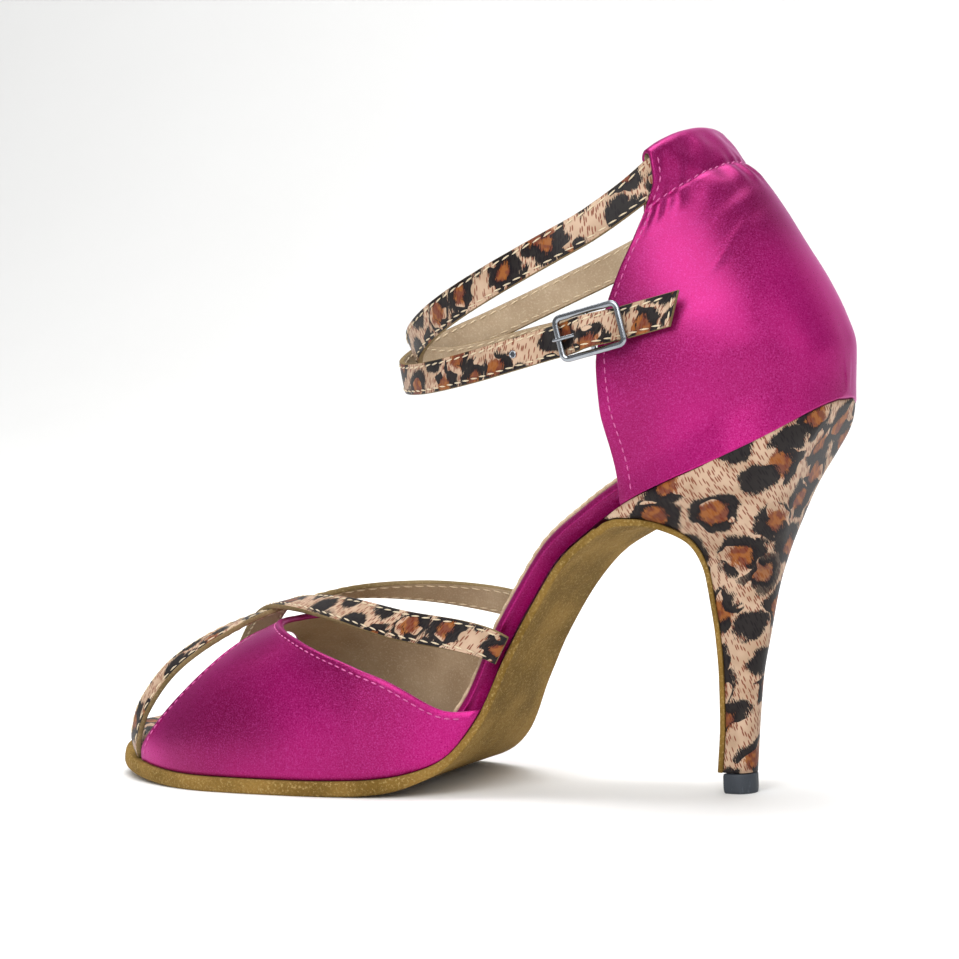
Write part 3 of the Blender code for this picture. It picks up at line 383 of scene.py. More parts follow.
@dataclass
class Last:
    """The form that the sole follows: its outline and the height of its bottom."""

    length: float = 213.0
    width: float = 76.0
    rise: float = 95.0
    floor: float = 3.8
    spring: float = 4.0
    seat: float = 57.0
    heel_round: float = 25.0
    toe_round: float = 48.0
    heel_power: float = 2.0
    toe_power: float = 1.9
    toe_turn: float = 0.035
    turn_start: float = 0.75
    spring_start: float = 0.8
    OUTLINE = Table(
        ("station", "outer", "inner", "outer_rise", "inner_rise"),
        (
            (0.0, 0.34, 0.335, 1.0, 1.0), (0.06, 0.342, 0.337, 0.914, 0.914),
            (0.12, 0.345, 0.338, 0.851, 0.851), (0.18, 0.335, 0.325, 0.798, 0.798),
            (0.24, 0.315, 0.295, 0.739, 0.739), (0.285, 0.297, 0.255, 0.672, 0.672),
            (0.33, 0.28, 0.217, 0.597, 0.61), (0.37, 0.268, 0.195, 0.48, 0.512),
            (0.41, 0.287, 0.19, 0.323, 0.376), (0.442, 0.325, 0.212, 0.162, 0.252),
            (0.476, 0.38, 0.27, 0.06, 0.137), (0.498, 0.412, 0.312, 0.034, 0.089),
            (0.535, 0.457, 0.372, 0.013, 0.041), (0.58, 0.488, 0.425, 0.004, 0.012),
            (0.66, 0.505, 0.48, 0.0, 0.003), (0.72, 0.503, 0.497, 0.0, 0.0), (0.8, 0.487, 0.5, 0.0, 0.0),
            (0.9, 0.455, 0.485, 0.0, 0.0), (1.0, 0.43, 0.475, 0.0, 0.0),
        ),
    )

    def widths(self, forward: Array, inset: Array | float = 0.0) -> tuple[Array, Array]:
        """How far the outline, taken in by inset, reaches to the outer and the inner side.

        The ends follow (1 - (1 - t)^p)^(1/p), and the toe turns inwards as a square of the station.
        """
        station = forward / self.length

        def end(share: Array, power: float) -> Array:
            """The rounding of one end."""
            share = np.clip(share, 0, 1)
            return np.maximum(1 - (1 - share) ** power, 0) ** (1 / power)

        ends = end((forward - inset) / (self.heel_round - inset), self.heel_power)
        ends = ends * end((self.length - inset - forward) / (self.toe_round - inset), self.toe_power)
        late = np.clip((station - self.turn_start) / (1 - self.turn_start), 0, 1)
        turn = self.toe_turn * self.width * late**2
        outer = self.OUTLINE.read("outer", station) * self.width - inset + turn
        inner = self.OUTLINE.read("inner", station) * self.width - inset - turn
        return outer * ends - turn, inner * ends + turn

    def up(self, forward: Array, side: Array) -> Array:
        """Height of the bottom above the floor: a straight line between the two edges' rises."""
        station = forward / self.length
        outer = self.OUTLINE.read("outer", station) * self.width
        inner = self.OUTLINE.read("inner", station) * self.width
        across = np.clip((side + inner) / (outer + inner), 0, 1)
        rises = self.OUTLINE.read("outer_rise", station), self.OUTLINE.read("inner_rise", station)
        late = np.maximum((station - self.spring_start) / (1 - self.spring_start), 0)
        spring = self.spring * late**2
        return self.floor + (across * rises[0] + (1 - across) * rises[1]) * self.rise + spring

    def point(self, forward: Array, side: Array, above: Array) -> Array:
        """The point above the bottom, square to it in the side view."""
        slope = (self.up(forward + 2, side) - self.up(forward - 2, side)) / 4
        length = np.sqrt(1 + slope**2)
        return np.stack([forward - above * slope / length, side, self.up(forward, side) + above / length], -1)

    def layer(
        self, forward: Array, inset: Array, across: Array, above: Array
    ) -> Array:
        """A grid on the bottom: shares across (-1 inner to 1 outer) at heights above it."""
        outer, inner = self.widths(forward, inset)
        side = ((outer - inner)[:, None] + across * (outer + inner)[:, None]) / 2
        return self.point(np.broadcast_to(forward[:, None], side.shape), side, above + 0 * side)


LAST = Last()


class Value:
    """A shader socket on which sums can be written."""

    def __init__(self, graph: "Graph", socket: bpy.types.NodeSocket) -> None:
        """Wraps a node's output."""
        self.graph = graph
        self.socket = socket

    def __add__(self, other: "Value | float") -> "Value":
        """Sum."""
        return self.graph.math("ADD", self, other)

    def __mul__(self, other: "Value | float") -> "Value":
        """Product."""
        return self.graph.math("MULTIPLY", self, other)

    def __sub__(self, other: "Value | float") -> "Value":
        """Difference."""
        return self.graph.math("SUBTRACT", self, other)

    def __rsub__(self, other: "Value | float") -> "Value":
        """Difference the other way round."""
        return self.graph.math("SUBTRACT", other, self)


class Graph:
    """The node tree of one finish."""

    def __init__(self, name: str) -> None:
        """Starts a material with one Principled surface."""
        self.material = bpy.data.materials.new(name)
        self.material.use_nodes = True
        self.tree = self.material.node_tree
        self.surface = self.tree.nodes["Principled BSDF"]

    def node(self, kind: str, settings: dict | None = None, inputs: dict | None = None) -> bpy.types.Node:
        """Adds a node.

        Args:
            kind: Its type, without the "ShaderNode" in front.
            settings: Its own properties, set first.
            inputs: Values or links of its sockets, by name or number.

        Returns:
            The node.
        """
        made = self.tree.nodes.new("ShaderNode" + kind)
        for key, value in (settings or {}).items():
            setattr(made, key, value)
        for key, value in (inputs or {}).items():
            self.feed(made.inputs[key], value)
        return made

    def value(self, kind: str, settings: dict | None, inputs: dict | None, output: int | str = 0) -> Value:
        """One output of a new node."""
        return Value(self, self.node(kind, settings, inputs).outputs[output])

    def feed(self, socket: bpy.types.NodeSocket, value: "Value | float | tuple") -> None:
        """Links a value to a socket, or sets it."""
        if isinstance(value, Value):
            self.tree.links.new(value.socket, socket)
        elif isinstance(value, tuple) and socket.type == "RGBA" and len(value) == 3:
            socket.default_value = (*value, 1.0)
        else:
            socket.default_value = value

    def math(self, operation: str, *values: "Value | float") -> Value:
        """A Math node on one or two values."""
        return self.value("Math", {"operation": operation}, dict(enumerate(values)))

    def vector(self, operation: str, *values: "Value | tuple") -> Value:
        """A Vector Math node."""
        return self.value("VectorMath", {"operation": operation}, dict(enumerate(values)))

    def mix(self, factor: "Value | float", low: "Value | tuple", high: "Value | tuple") -> Value:
        """A colour between two colours."""
        return self.value("Mix", {"data_type": "RGBA"}, {0: factor, 6: low, 7: high}, 2)

    def step(self, value: "Value", low: float, high: float) -> Value:
        """From 0 at low to 1 at high, smoothly; the other way round where low is above high."""
        inputs = {"Value": value, "From Min": low, "From Max": high}
        return self.value("MapRange", {"interpolation_type": "SMOOTHSTEP"}, inputs)

    def cloth(self) -> Value:
        """The piece's own flat coordinates, in millimetres."""
        return self.value("UVMap", {"uv_map": UV_NAME}, None)

    def place(self) -> Value:
        """The place on the object, in metres."""
        return self.value("TexCoord", None, None, "Object")

    def turned(self, vector: Value, degrees: float, size: Triple) -> Value:
        """Coordinates along axes turned about the third one, counted in the given sizes."""
        inputs = {"Vector": vector, "Rotation": (0.0, 0.0, math.radians(degrees)), "Scale": size}
        return self.value("Mapping", {"vector_type": "TEXTURE"}, inputs)

    def noise(self, vector: Value, scale: float, detail: float = 2.0, rough: float = 0.5) -> Value:
        """Cloudy noise between 0 and 1."""
        inputs = {"Vector": vector, "Scale": scale, "Detail": detail, "Roughness": rough}
        return self.value("TexNoise", None, inputs)

    def cells(self, vector: Value, random: float) -> bpy.types.Node:
        """Distance, colour and place of the nearest of points strewn on a grid of unit cells."""
        inputs = {"Vector": vector, "Scale": 1.0, "Randomness": random}
        return self.node("TexVoronoi", {"voronoi_dimensions": "2D"}, inputs)

    def channel(self, colour: Value, number: int) -> Value:
        """Red, green or blue of a colour."""
        return self.value("SeparateColor", None, {0: colour}, number)

    def bump(self, height: Value, strength: float, distance: float, under: Value | None = None) -> Value:
        """A bump of a height in metres times distance, over another one if given."""
        inputs: dict = {"Height": height, "Strength": strength, "Distance": distance}
        if under:
            inputs["Normal"] = under
        return self.value("Bump", None, inputs)

    def finish(self, **sockets: "Value | float | tuple") -> bpy.types.Material:
        """Feeds the surface, socket by socket, with underscores for spaces, and returns the material."""
        for key, value in sockets.items():
            self.feed(self.surface.inputs[key.replace("_", " ")], value)
        return self.material


@dataclass(frozen=True)
class SatinFinish:
    """Soft shiny woven satin: dark where it looks away from the light, grainy in its highlights."""

    name: str = "magenta_satin"
    colour: str = "B0046E"
    deep: str = "84004C"
    bright: str = "E664C6"
    tint: str = "F4BCEC"
    sheen: str = "F07AD8"
    roughness: float = 0.36
    metallic: float = 0.62
    grain: float = 2700.0
    threads: float = 1300.0
    folds: float = 70.0

    def make(self) -> bpy.types.Material:
        """Grain of two sizes breaks up colour and roughness, a painted sheen lightens the colour where the
        satin is seen edge-on, and long soft folds bend the surface.
        """
        g = Graph(self.name)
        place = g.place()
        slow = g.noise(place, 22.0, 1.0)
        grain = g.noise(place, self.grain, 2.0, 0.7)
        threads = g.noise(g.turned(place, 0.0, (1.0, 1.0, 0.3)), self.threads, 2.0, 0.6)
        facing = g.value("LayerWeight", None, {"Blend": 0.35}, "Facing")
        base = g.mix(g.step(slow, 0.3, 0.75), linear(self.deep), linear(self.colour))
        base = g.mix(g.step(grain, 0.46, 0.70) * 0.20, base, linear(self.bright))
        base = g.mix(g.step(grain, 0.46, 0.30) * 0.20, base, linear(self.deep))
        # Painted sheen: the colour turns towards the bright tone where the satin is seen edge-on.
        base = g.mix(g.step(facing, 0.35, 1.0) * 0.12, base, linear(self.bright))
        rough = g.step(grain, 0.25, 0.75) * 0.20 + (self.roughness - 0.10)
        folds = g.noise(g.turned(place, 0.0, (1.0, 1.0, 2.0)), self.folds, 1.0)
        normal = g.bump(folds, 0.30, 0.0014)
        normal = g.bump(grain + threads * 0.6, 0.22, 0.00012, normal)
        return g.finish(
            Base_Color=base,
            Metallic=self.metallic,
            Roughness=rough,
            Normal=normal,
            Specular_IOR_Level=0.7,
            Specular_Tint=linear(self.tint),
            Coat_Weight=0.08,
            Coat_Roughness=0.38,
            Sheen_Weight=0.05,
            Sheen_Roughness=0.4,
            Sheen_Tint=linear(self.sheen),
        )


@dataclass(frozen=True)
class LeopardFinish:
    """Satin with a leopard print: ragged broken rings round rust centres on a dashed ground."""

    name: str = "leopard_print"
    size: tuple[float, float] = (10.8, 7.8)
    slant: float = 32.0
    dash_slant: float = 62.0
    shift: Triple = (0.0, 0.0, 0.0)
    ground: str = "C0A48C"
    shade: str = "AB8F76"
    dash: str = "73331D"
    ring: str = "070B12"
    centre: str = "662812"
    ochre: str = "8A4C16"
    roughness: float = 0.45
    sway: float = 0.45
    scatter: float = 0.72
    ragged: float = 0.42

    def make(self) -> bpy.types.Material:
        """Rings where the distance to the nearest cell point lies in a band, broken by noise."""
        g = Graph(self.name)
        cloth = g.vector("ADD", g.cloth(), self.shift)
        cells = g.turned(cloth, self.slant, (*self.size, 1.0))
        soft = g.value("TexNoise", None, {"Vector": cells, "Scale": 2.2, "Detail": 1.0}, 1)
        sway = g.vector("MULTIPLY", g.vector("SUBTRACT", soft, (0.5, 0.5, 0.5)), (self.sway, self.sway, 0.0))
        cells = g.vector("ADD", cells, sway)
        spots = g.cells(cells, self.scatter)
        distance, chance, centre = (Value(g, spots.outputs[k]) for k in (0, 1, 2))
        streaks = g.noise(g.turned(cloth, self.dash_slant, (1.8, 0.26, 1.0)), 1.0, 2.0, 0.7)
        ragged = distance + (streaks - 0.5) * self.ragged
        inside = g.vector("SUBTRACT", cells, centre)
        apart = g.vector("MULTIPLY", chance, (19.0, 23.0, 17.0))
        gaps = g.noise(g.vector("ADD", g.vector("MULTIPLY", inside, (2.3, 2.3, 2.3)), apart), 1.0, 0.0)
        blob = g.step(g.channel(chance, 0), 0.72, 0.76)
        ring = g.step(ragged, 0.57, 0.52) * g.step(ragged, 0.19, 0.24) * g.step(gaps, 0.385, 0.40)
        dark = ring * (1.0 - blob) + g.step(ragged, 0.42, 0.37) * blob
        rust = g.step(ragged, 0.36, 0.28) * (1.0 - blob)
        bits = g.cells(g.turned(cloth, self.dash_slant, (2.5, 0.60, 1.0)), 0.85)
        near, chance = (Value(g, bits.outputs[k]) for k in (0, 1))
        fleck = g.step(near, 0.38, 0.24) * g.step(g.channel(chance, 1), 0.22, 0.30)
        base = g.mix(g.step(g.noise(cloth, 0.12, 2.0), 0.35, 0.7), linear(self.ground), linear(self.shade))
        base = g.mix(fleck * 0.88, base, linear(self.dash))
        warm = g.mix(g.step(g.noise(cloth, 0.45, 1.0), 0.42, 0.6), linear(self.centre), linear(self.ochre))
        base = g.mix(rust * 0.92, base, warm)
        base = g.mix(dark * 0.97, base, linear(self.ring))
        grain = g.noise(cloth, 5.5, 2.0, 0.6)
        normal = g.bump(grain, 0.25, 0.00010)
        return g.finish(
            Base_Color=base,
            Roughness=g.step(grain, 0.2, 0.8) * 0.14 + (self.roughness - 0.07),
            Normal=normal,
            Specular_IOR_Level=0.16,
        )


@dataclass(frozen=True)
class SuedeFinish:
    """Napped leather: mottled colour, no shine and a fuzzy surface."""

    name: str
    colour: str
    deep: str
    light: str
    grain: float = 900.0
    fuzz: float = 0.0005

    def make(self) -> bpy.types.Material:
        """Two sizes of noise mix three tones, and the finer one also makes the nap."""
        g = Graph(self.name)
        place = g.place()
        slow = g.noise(place, 60.0, 3.0)
        fine = g.noise(place, self.grain, 4.0, 0.65)
        base = g.mix(g.step(slow, 0.3, 0.7), linear(self.deep), linear(self.colour))
        base = g.mix(g.step(fine, 0.5, 0.72) * 0.65, base, linear(self.light))
        base = g.mix(g.step(fine, 0.45, 0.28) * 0.45, base, linear(self.deep))
        normal = g.bump(fine, 0.7, self.fuzz)
        return g.finish(
            Base_Color=base,
            Roughness=0.95,
            Normal=normal,
            Specular_IOR_Level=0.2,
            Sheen_Weight=0.12,
            Sheen_Roughness=0.6,
            Sheen_Tint=linear(self.light),
        )


@dataclass(frozen=True)
class RubberFinish:
    """Dark matt rubber with fine scuffs."""

    name: str = "dark_rubber"
    colour: str = "2E343C"
    worn: str = "565C64"

    def make(self) -> bpy.types.Material:
        """Scuffs from stretched noise lighten the colour and roughen the surface."""
        g = Graph(self.name)
        place = g.place()
        scuffs = g.noise(g.turned(place, 0.0, (1.0, 1.0, 3.3)), 900.0, 3.0, 0.7)
        base = g.mix(g.step(scuffs, 0.56, 0.72) * 0.5, linear(self.colour), linear(self.worn))
        rough = g.step(scuffs, 0.3, 0.8) * 0.25 + 0.5
        return g.finish(Base_Color=base, Roughness=rough, Normal=g.bump(scuffs, 0.3, 0.0002))


@dataclass(frozen=True)
class MetalFinish:
    """Polished plated metal with faint handling marks."""

    name: str = "polished_metal"
    colour: str = "A4A8AE"
    dark: str = "666C75"

    def make(self) -> bpy.types.Material:
        """Roughness varies with fine noise."""
        g = Graph(self.name)
        marks = g.noise(g.place(), 260.0, 1.0, 0.5)
        base = g.mix(g.step(marks, 0.3, 0.8) * 0.5, linear(self.colour), linear(self.dark))
        rough = g.step(marks, 0.3, 0.8) * 0.10 + 0.12
        return g.finish(Base_Color=base, Metallic=1.0, Roughness=rough, Normal=g.bump(marks, 0.03, 0.00002))


@dataclass(frozen=True)
class ThreadFinish:
    """Sewing thread with its twist."""

    name: str
    colour: str
    dark: str

    def make(self) -> bpy.types.Material:
        """Slanted bands along the stitch give the twist: they bump the thread and darken its colour in the
        grooves as painted shade.
        """
        g = Graph(self.name)
        twist = g.value("TexWave", {"bands_direction": "DIAGONAL"}, {"Vector": g.cloth(), "Scale": 1.4}, 1)
        # Painted shade: the dark tone marks the grooves of the twist.
        base = g.mix(twist, linear(self.dark), linear(self.colour))
        return g.finish(Base_Color=base, Roughness=0.7, Normal=g.bump(twist, 0.4, 0.0001), Sheen_Weight=0.2)


@dataclass(frozen=True)
class PlainFinish:
    """A plain, faintly mottled finish for the studio."""

    name: str
    colour: str

    def make(self) -> bpy.types.Material:
        """One tone with slow, faint noise."""
        g = Graph(self.name)
        base = g.mix(g.noise(g.place(), 6.0, 2.0) * 0.2, linear(self.colour), linear("FFFFFF"))
        return g.finish(Base_Color=base, Roughness=0.8)


class Wardrobe:
    """Every finish of the shoe, made once."""

    def __init__(self) -> None:
        """Makes them."""
        self.satin = SatinFinish().make()
        self.leopard = LeopardFinish().make()
        cover = LeopardFinish("leopard_heel_cover", (13.2, 9.0), 152.0, 70.0, (3.0, 1.0, 0.0))
        self.heel_leopard = cover.make()
        self.sole = SuedeFinish("sole_suede", "927238", "6C5220", "C2A76C", 1500.0, 0.0009).make()
        self.sock = SuedeFinish("sock_suede", "CDB799", "B9A284", "E0CFB6", 1700.0, 0.0003).make()
        self.lining = SuedeFinish("lining_suede", "B8A48A", "A18C72", "CDBCA3", 1900.0, 0.0002).make()
        cut_edge = SuedeFinish("cut_edge", "83704F", "665536", "A08C69", 1900.0, 0.0002).make()
        self.rubber = RubberFinish().make()
        self.metal = MetalFinish().make()
        self.cream_thread = ThreadFinish("cream_thread", "F1E4C8", "BFA47A").make()
        self.satin_thread = ThreadFinish("magenta_thread", "F07AC4", "A81468").make()
        self.strap = [self.leopard, self.lining, cut_edge]


class Stitching:
    """Rows of stitches, each a small rounded bar lying on the surface."""

    # Length, pitch and half thickness of the stitches in the satin and in the straps.
    SEAM = (1.5, 2.3, 0.2)
    STRAP = (2.3, 3.1, 0.21)

    def __init__(self, name: str, sizes: Triple) -> None:
        """Starts with no rows.

        Args:
            name: Object name.
            sizes: A stitch's length, the distance from one to the next and half the thread's
                thickness, in millimetres.
        """
        self.piece = Piece(name)
        self.length, self.pitch, self.thread = sizes

    def row(self, points: Array, normals: Array, slant: float = 0.0) -> None:
        """Adds stitches along a line.

        Each is a tube round its own straight axis, thick in the middle as sin^0.5.

        Args:
            points: The line, on the surface.
            normals: The surface's outward directions there.
            slant: Turn of each stitch in the surface, in degrees.
        """
        along = running(points)
        count = int(along[-1] / self.pitch)
        if count < 1:
            return
        middles = (np.arange(count) + 0.5) * along[-1] / count

        def at(places: Array, rows: Array) -> Array:
            """Rows read at lengths along the line."""
            return np.stack([np.interp(places, along, rows[:, k]) for k in range(3)], -1)

        centre, up = at(middles, points), unit(at(middles, normals))
        ahead = unit(at(middles + 0.4, points) - at(middles - 0.4, points))
        side = unit(np.cross(up, ahead))
        turn = math.radians(slant)
        ahead = math.cos(turn) * ahead + math.sin(turn) * side
        side = unit(np.cross(up, ahead))
        t = np.linspace(0, 1, 6)
        reach = (t - 0.5) * self.length
        size = self.thread * np.maximum(np.sin(math.pi * np.clip(t, 0.04, 0.96)), 0) ** 0.5
        lift = self.thread * 0.45 - 0.35 * self.thread * (2 * t - 1) ** 2
        ring = circle(1.0, 6)
        for k in range(count):
            spine = centre[k] + reach[:, None] * ahead[k] + lift[:, None] * up[k]
            rings = spine[:, None] + size[:, None, None] * (
                ring[None, :, :1] * side[k] + ring[None, :, 1:] * up[k]
            )
            uvs = np.stack(np.broadcast_arrays(reach[:, None] * 3, ring[None, :, 0]), -1)
            add_tube(self.piece, rings, uvs)

    def build(self, finish: bpy.types.Material, slot: Slot) -> bpy.types.Object:
        """Makes the object."""
        return self.piece.build([finish], slot)


@dataclass
class SoleUnit:
    """The suede sole with its flap, the covered insole and the sock."""

    wear: Wardrobe
    thickness: float = 3.8
    waist_thickness: float = 2.0
    flap_thickness: float = 1.3
    margin: float = 0.9
    waist_inset: float = 1.2
    insole_height: float = 5.8
    insole_inset: float = 2.2
    insole_gap: float = 0.42
    insole_round: float = 2.2
    band_inset: float = 0.9
    toe_inset: float = 0.7
    print_start: float = 158.0
    sock_height: float = 0.9
    sock_front: float = 163.0
    sock_gap: float = 0.25
    sock_margin: float = 2.6
    sock_crown: float = 0.25
    tooth: float = 2.2
    tooth_depth: float = 0.9
    flap_blend: float = 0.16
    end_reach: float = 14.5
    END_STEPS = (0.03, 0.2, 0.5, 1.0, 1.7, 2.6, 3.7, 5.0, 6.6, 8.4, 10.4, 12.6)
    # Stations, as shares of the length: where a change starts and its reach; BAND has both of its ends first.
    NARROWS = (0.5164, 0.0845)
    THINS = (0.5540, 0.1033)
    BAND = (0.2441, 0.4319, 0.0376)
    BARE_TOE = (0.9671, 0.0188)

    def rows(self, start: float, end: float, spacing: float) -> Array:
        """Stations with closer ones at both ends, where the outline is round."""
        ends, reach = np.array(self.END_STEPS), self.end_reach
        inner = np.linspace(start + reach, end - reach, int((end - start - 2 * reach) / spacing) + 1)
        return np.concatenate([start + ends, inner, (end - ends)[::-1]])

    def outsole(self) -> None:
        """The sole and its flap as one sheet: forward along the last, then down the heel's breast."""
        leave = HeelUnit.BREAST.read("forward", 0.0) * LAST.seat
        forward = self.rows(leave - 1, LAST.length + self.margin, 1.6)[::-1]
        forward = np.concatenate([forward[forward > leave + 1.5], [leave]])
        station = forward / LAST.length
        waist, thin = (ease((start - station) / reach) for start, reach in (self.NARROWS, self.THINS))
        inset = -self.margin + (self.margin + self.waist_inset) * waist
        depth = self.thickness - (self.thickness - self.waist_thickness) * thin
        across = np.concatenate([[-1, -0.985, -0.95], np.linspace(-0.88, 0.88, 15), [0.95, 0.985, 1]])
        over = LAST.layer(forward, inset, across, np.zeros((1, 1)))
        under = LAST.layer(forward, inset, across, -depth[:, None])
        under[..., 2] = np.maximum(under[..., 2], 0.0)
        way = np.linspace(0.015, 1, 60)
        heel = HeelUnit(self.wear)
        levels = np.linspace(0, 1, 80)
        fronts = np.array([heel.section(level, np.array(0.0)) for level in levels])
        ways = heel.TABLE.read("way", levels)
        outer, inner = LAST.widths(forward[-1:], inset[-1:])
        lead = ease(way / self.flap_blend)
        flap = [
            edge + (np.interp(way, ways[::-1], fronts[::-1, k]) - edge) * lead
            for k, edge in ((0, outer[0]), (1, inner[0]))
        ]
        place, away = heel.breast(way)
        depth = self.waist_thickness - (self.waist_thickness - self.flap_thickness) * ease(way / 0.5)
        side = ((flap[0] - flap[1])[:, None] + across * (flap[0] + flap[1])[:, None]) / 2
        near = np.stack(np.broadcast_arrays(place[:, :1], side, place[:, 1:]), -1)
        shift = np.stack([away[:, 0], 0 * depth, away[:, 1]], -1) * depth[:, None]
        over = np.concatenate([over, near])
        under = np.concatenate([under, near + shift[:, None]])
        piece = Piece("outsole_suede")
        add_sheet(piece, over, under, grid_lengths(over), (0, 0, 0), 0.3)
        made = piece.build([self.wear.sole], Slot.SOLE)
        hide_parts("outsole")

    def insole_edge(self, forward: Array) -> Array:
        """How far the insole lies inside the outline: out at the waist and at the bare toe."""
        station = forward / LAST.length
        rear, front, reach = self.BAND
        band = ease((station - rear) / reach) * ease((front - station) / reach)
        toe = ease((station - self.BARE_TOE[0]) / self.BARE_TOE[1])
        out = (self.insole_inset - self.band_inset) * band
        return self.insole_inset - out - (self.insole_inset - self.toe_inset) * toe

    def insole(self) -> None:
        """A board with a rounded edge: the side's height follows a quarter circle near the top."""
        forward = self.rows(2.6, LAST.length - self.toe_inset, 1.8)
        inset = self.insole_edge(forward)
        turn = np.linspace(0, math.pi / 2, 7)
        radius = self.insole_round
        reach = np.concatenate([radius * (1 - np.cos(turn[::-1])), np.linspace(3.5, 34, 14)])
        drop = np.concatenate([radius * (1 - np.sin(turn[::-1])), np.zeros(14)])[::-1]
        reach = reach[::-1]
        lift = self.insole_gap + self.insole_height
        outer, inner = LAST.widths(forward, inset)
        half = (outer + inner) / 2
        share = np.clip(1 - reach[None, :] / np.maximum(half[:, None], 0.5), 0, 1)
        ends = np.minimum(forward - forward[0], forward[-1] - forward)
        slope = np.sqrt(np.maximum(radius**2 - np.maximum(radius - ends, 0) ** 2, 0)) - radius
        slope = np.where(ends < radius, slope, 0)
        across = np.concatenate([-share[:, ::-1], share], 1)
        height = lift - np.concatenate([drop[::-1], drop])[None, :]
        height = np.minimum(height, lift + slope[:, None])
        top = LAST.layer(forward, inset, across, height)
        low = LAST.layer(forward, inset, across, np.full((1, 1), self.insole_gap))
        piece = Piece("insole_cover")
        add_sheet(piece, top, low, grid_lengths(top), (0, 0, 0), 0.05, 1, self.insole_height)
        places = np.concatenate(piece.points)
        for faces, slots in zip(piece.faces, piece.slots):
            slots[places[faces, 0].mean(axis=1) > self.print_start] = 1
        made = piece.build([self.wear.satin, self.wear.leopard], Slot.SATIN)
        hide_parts("insole")

    def sock(self) -> None:
        """A thin sheet whose edge is pinked: the inset swings as a triangle wave along the side."""
        start, end = 6.0, self.sock_front
        forward = self.rows(start, end, 0.55)
        inset = self.insole_edge(forward) + self.sock_margin
        wave = np.abs(((forward / self.tooth) % 1.0) * 2 - 1)
        teeth = wave * self.tooth_depth * ease((forward - start) / 12)
        teeth = teeth * ease((end - forward) / 10)
        across = np.linspace(-1, 1, 17)
        floor = self.insole_gap + self.insole_height + self.sock_gap
        crown = self.sock_crown * (1 - across[None, :] ** 4)
        outer, inner = LAST.widths(forward, inset)
        half = np.maximum((outer + inner) / 2, 4)[:, None]
        cut = np.where(np.abs(across) > 0.999, teeth[:, None], 0.0) / half
        top = LAST.layer(forward, inset, across * (1 - cut), floor + self.sock_height + crown)
        low = LAST.layer(forward, inset, across * (1 - cut), np.full((1, 1), floor))
        piece = Piece("sock_lining")
        add_sheet(piece, top, low, grid_lengths(top), (0, 0, 0), 0.1, 1)
        made = piece.build([self.wear.sock], Slot.SOCK)
        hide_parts("sock")

    def build(self) -> None:
        """Makes the three layers."""
        self.outsole()
        self.insole()
        self.sock()


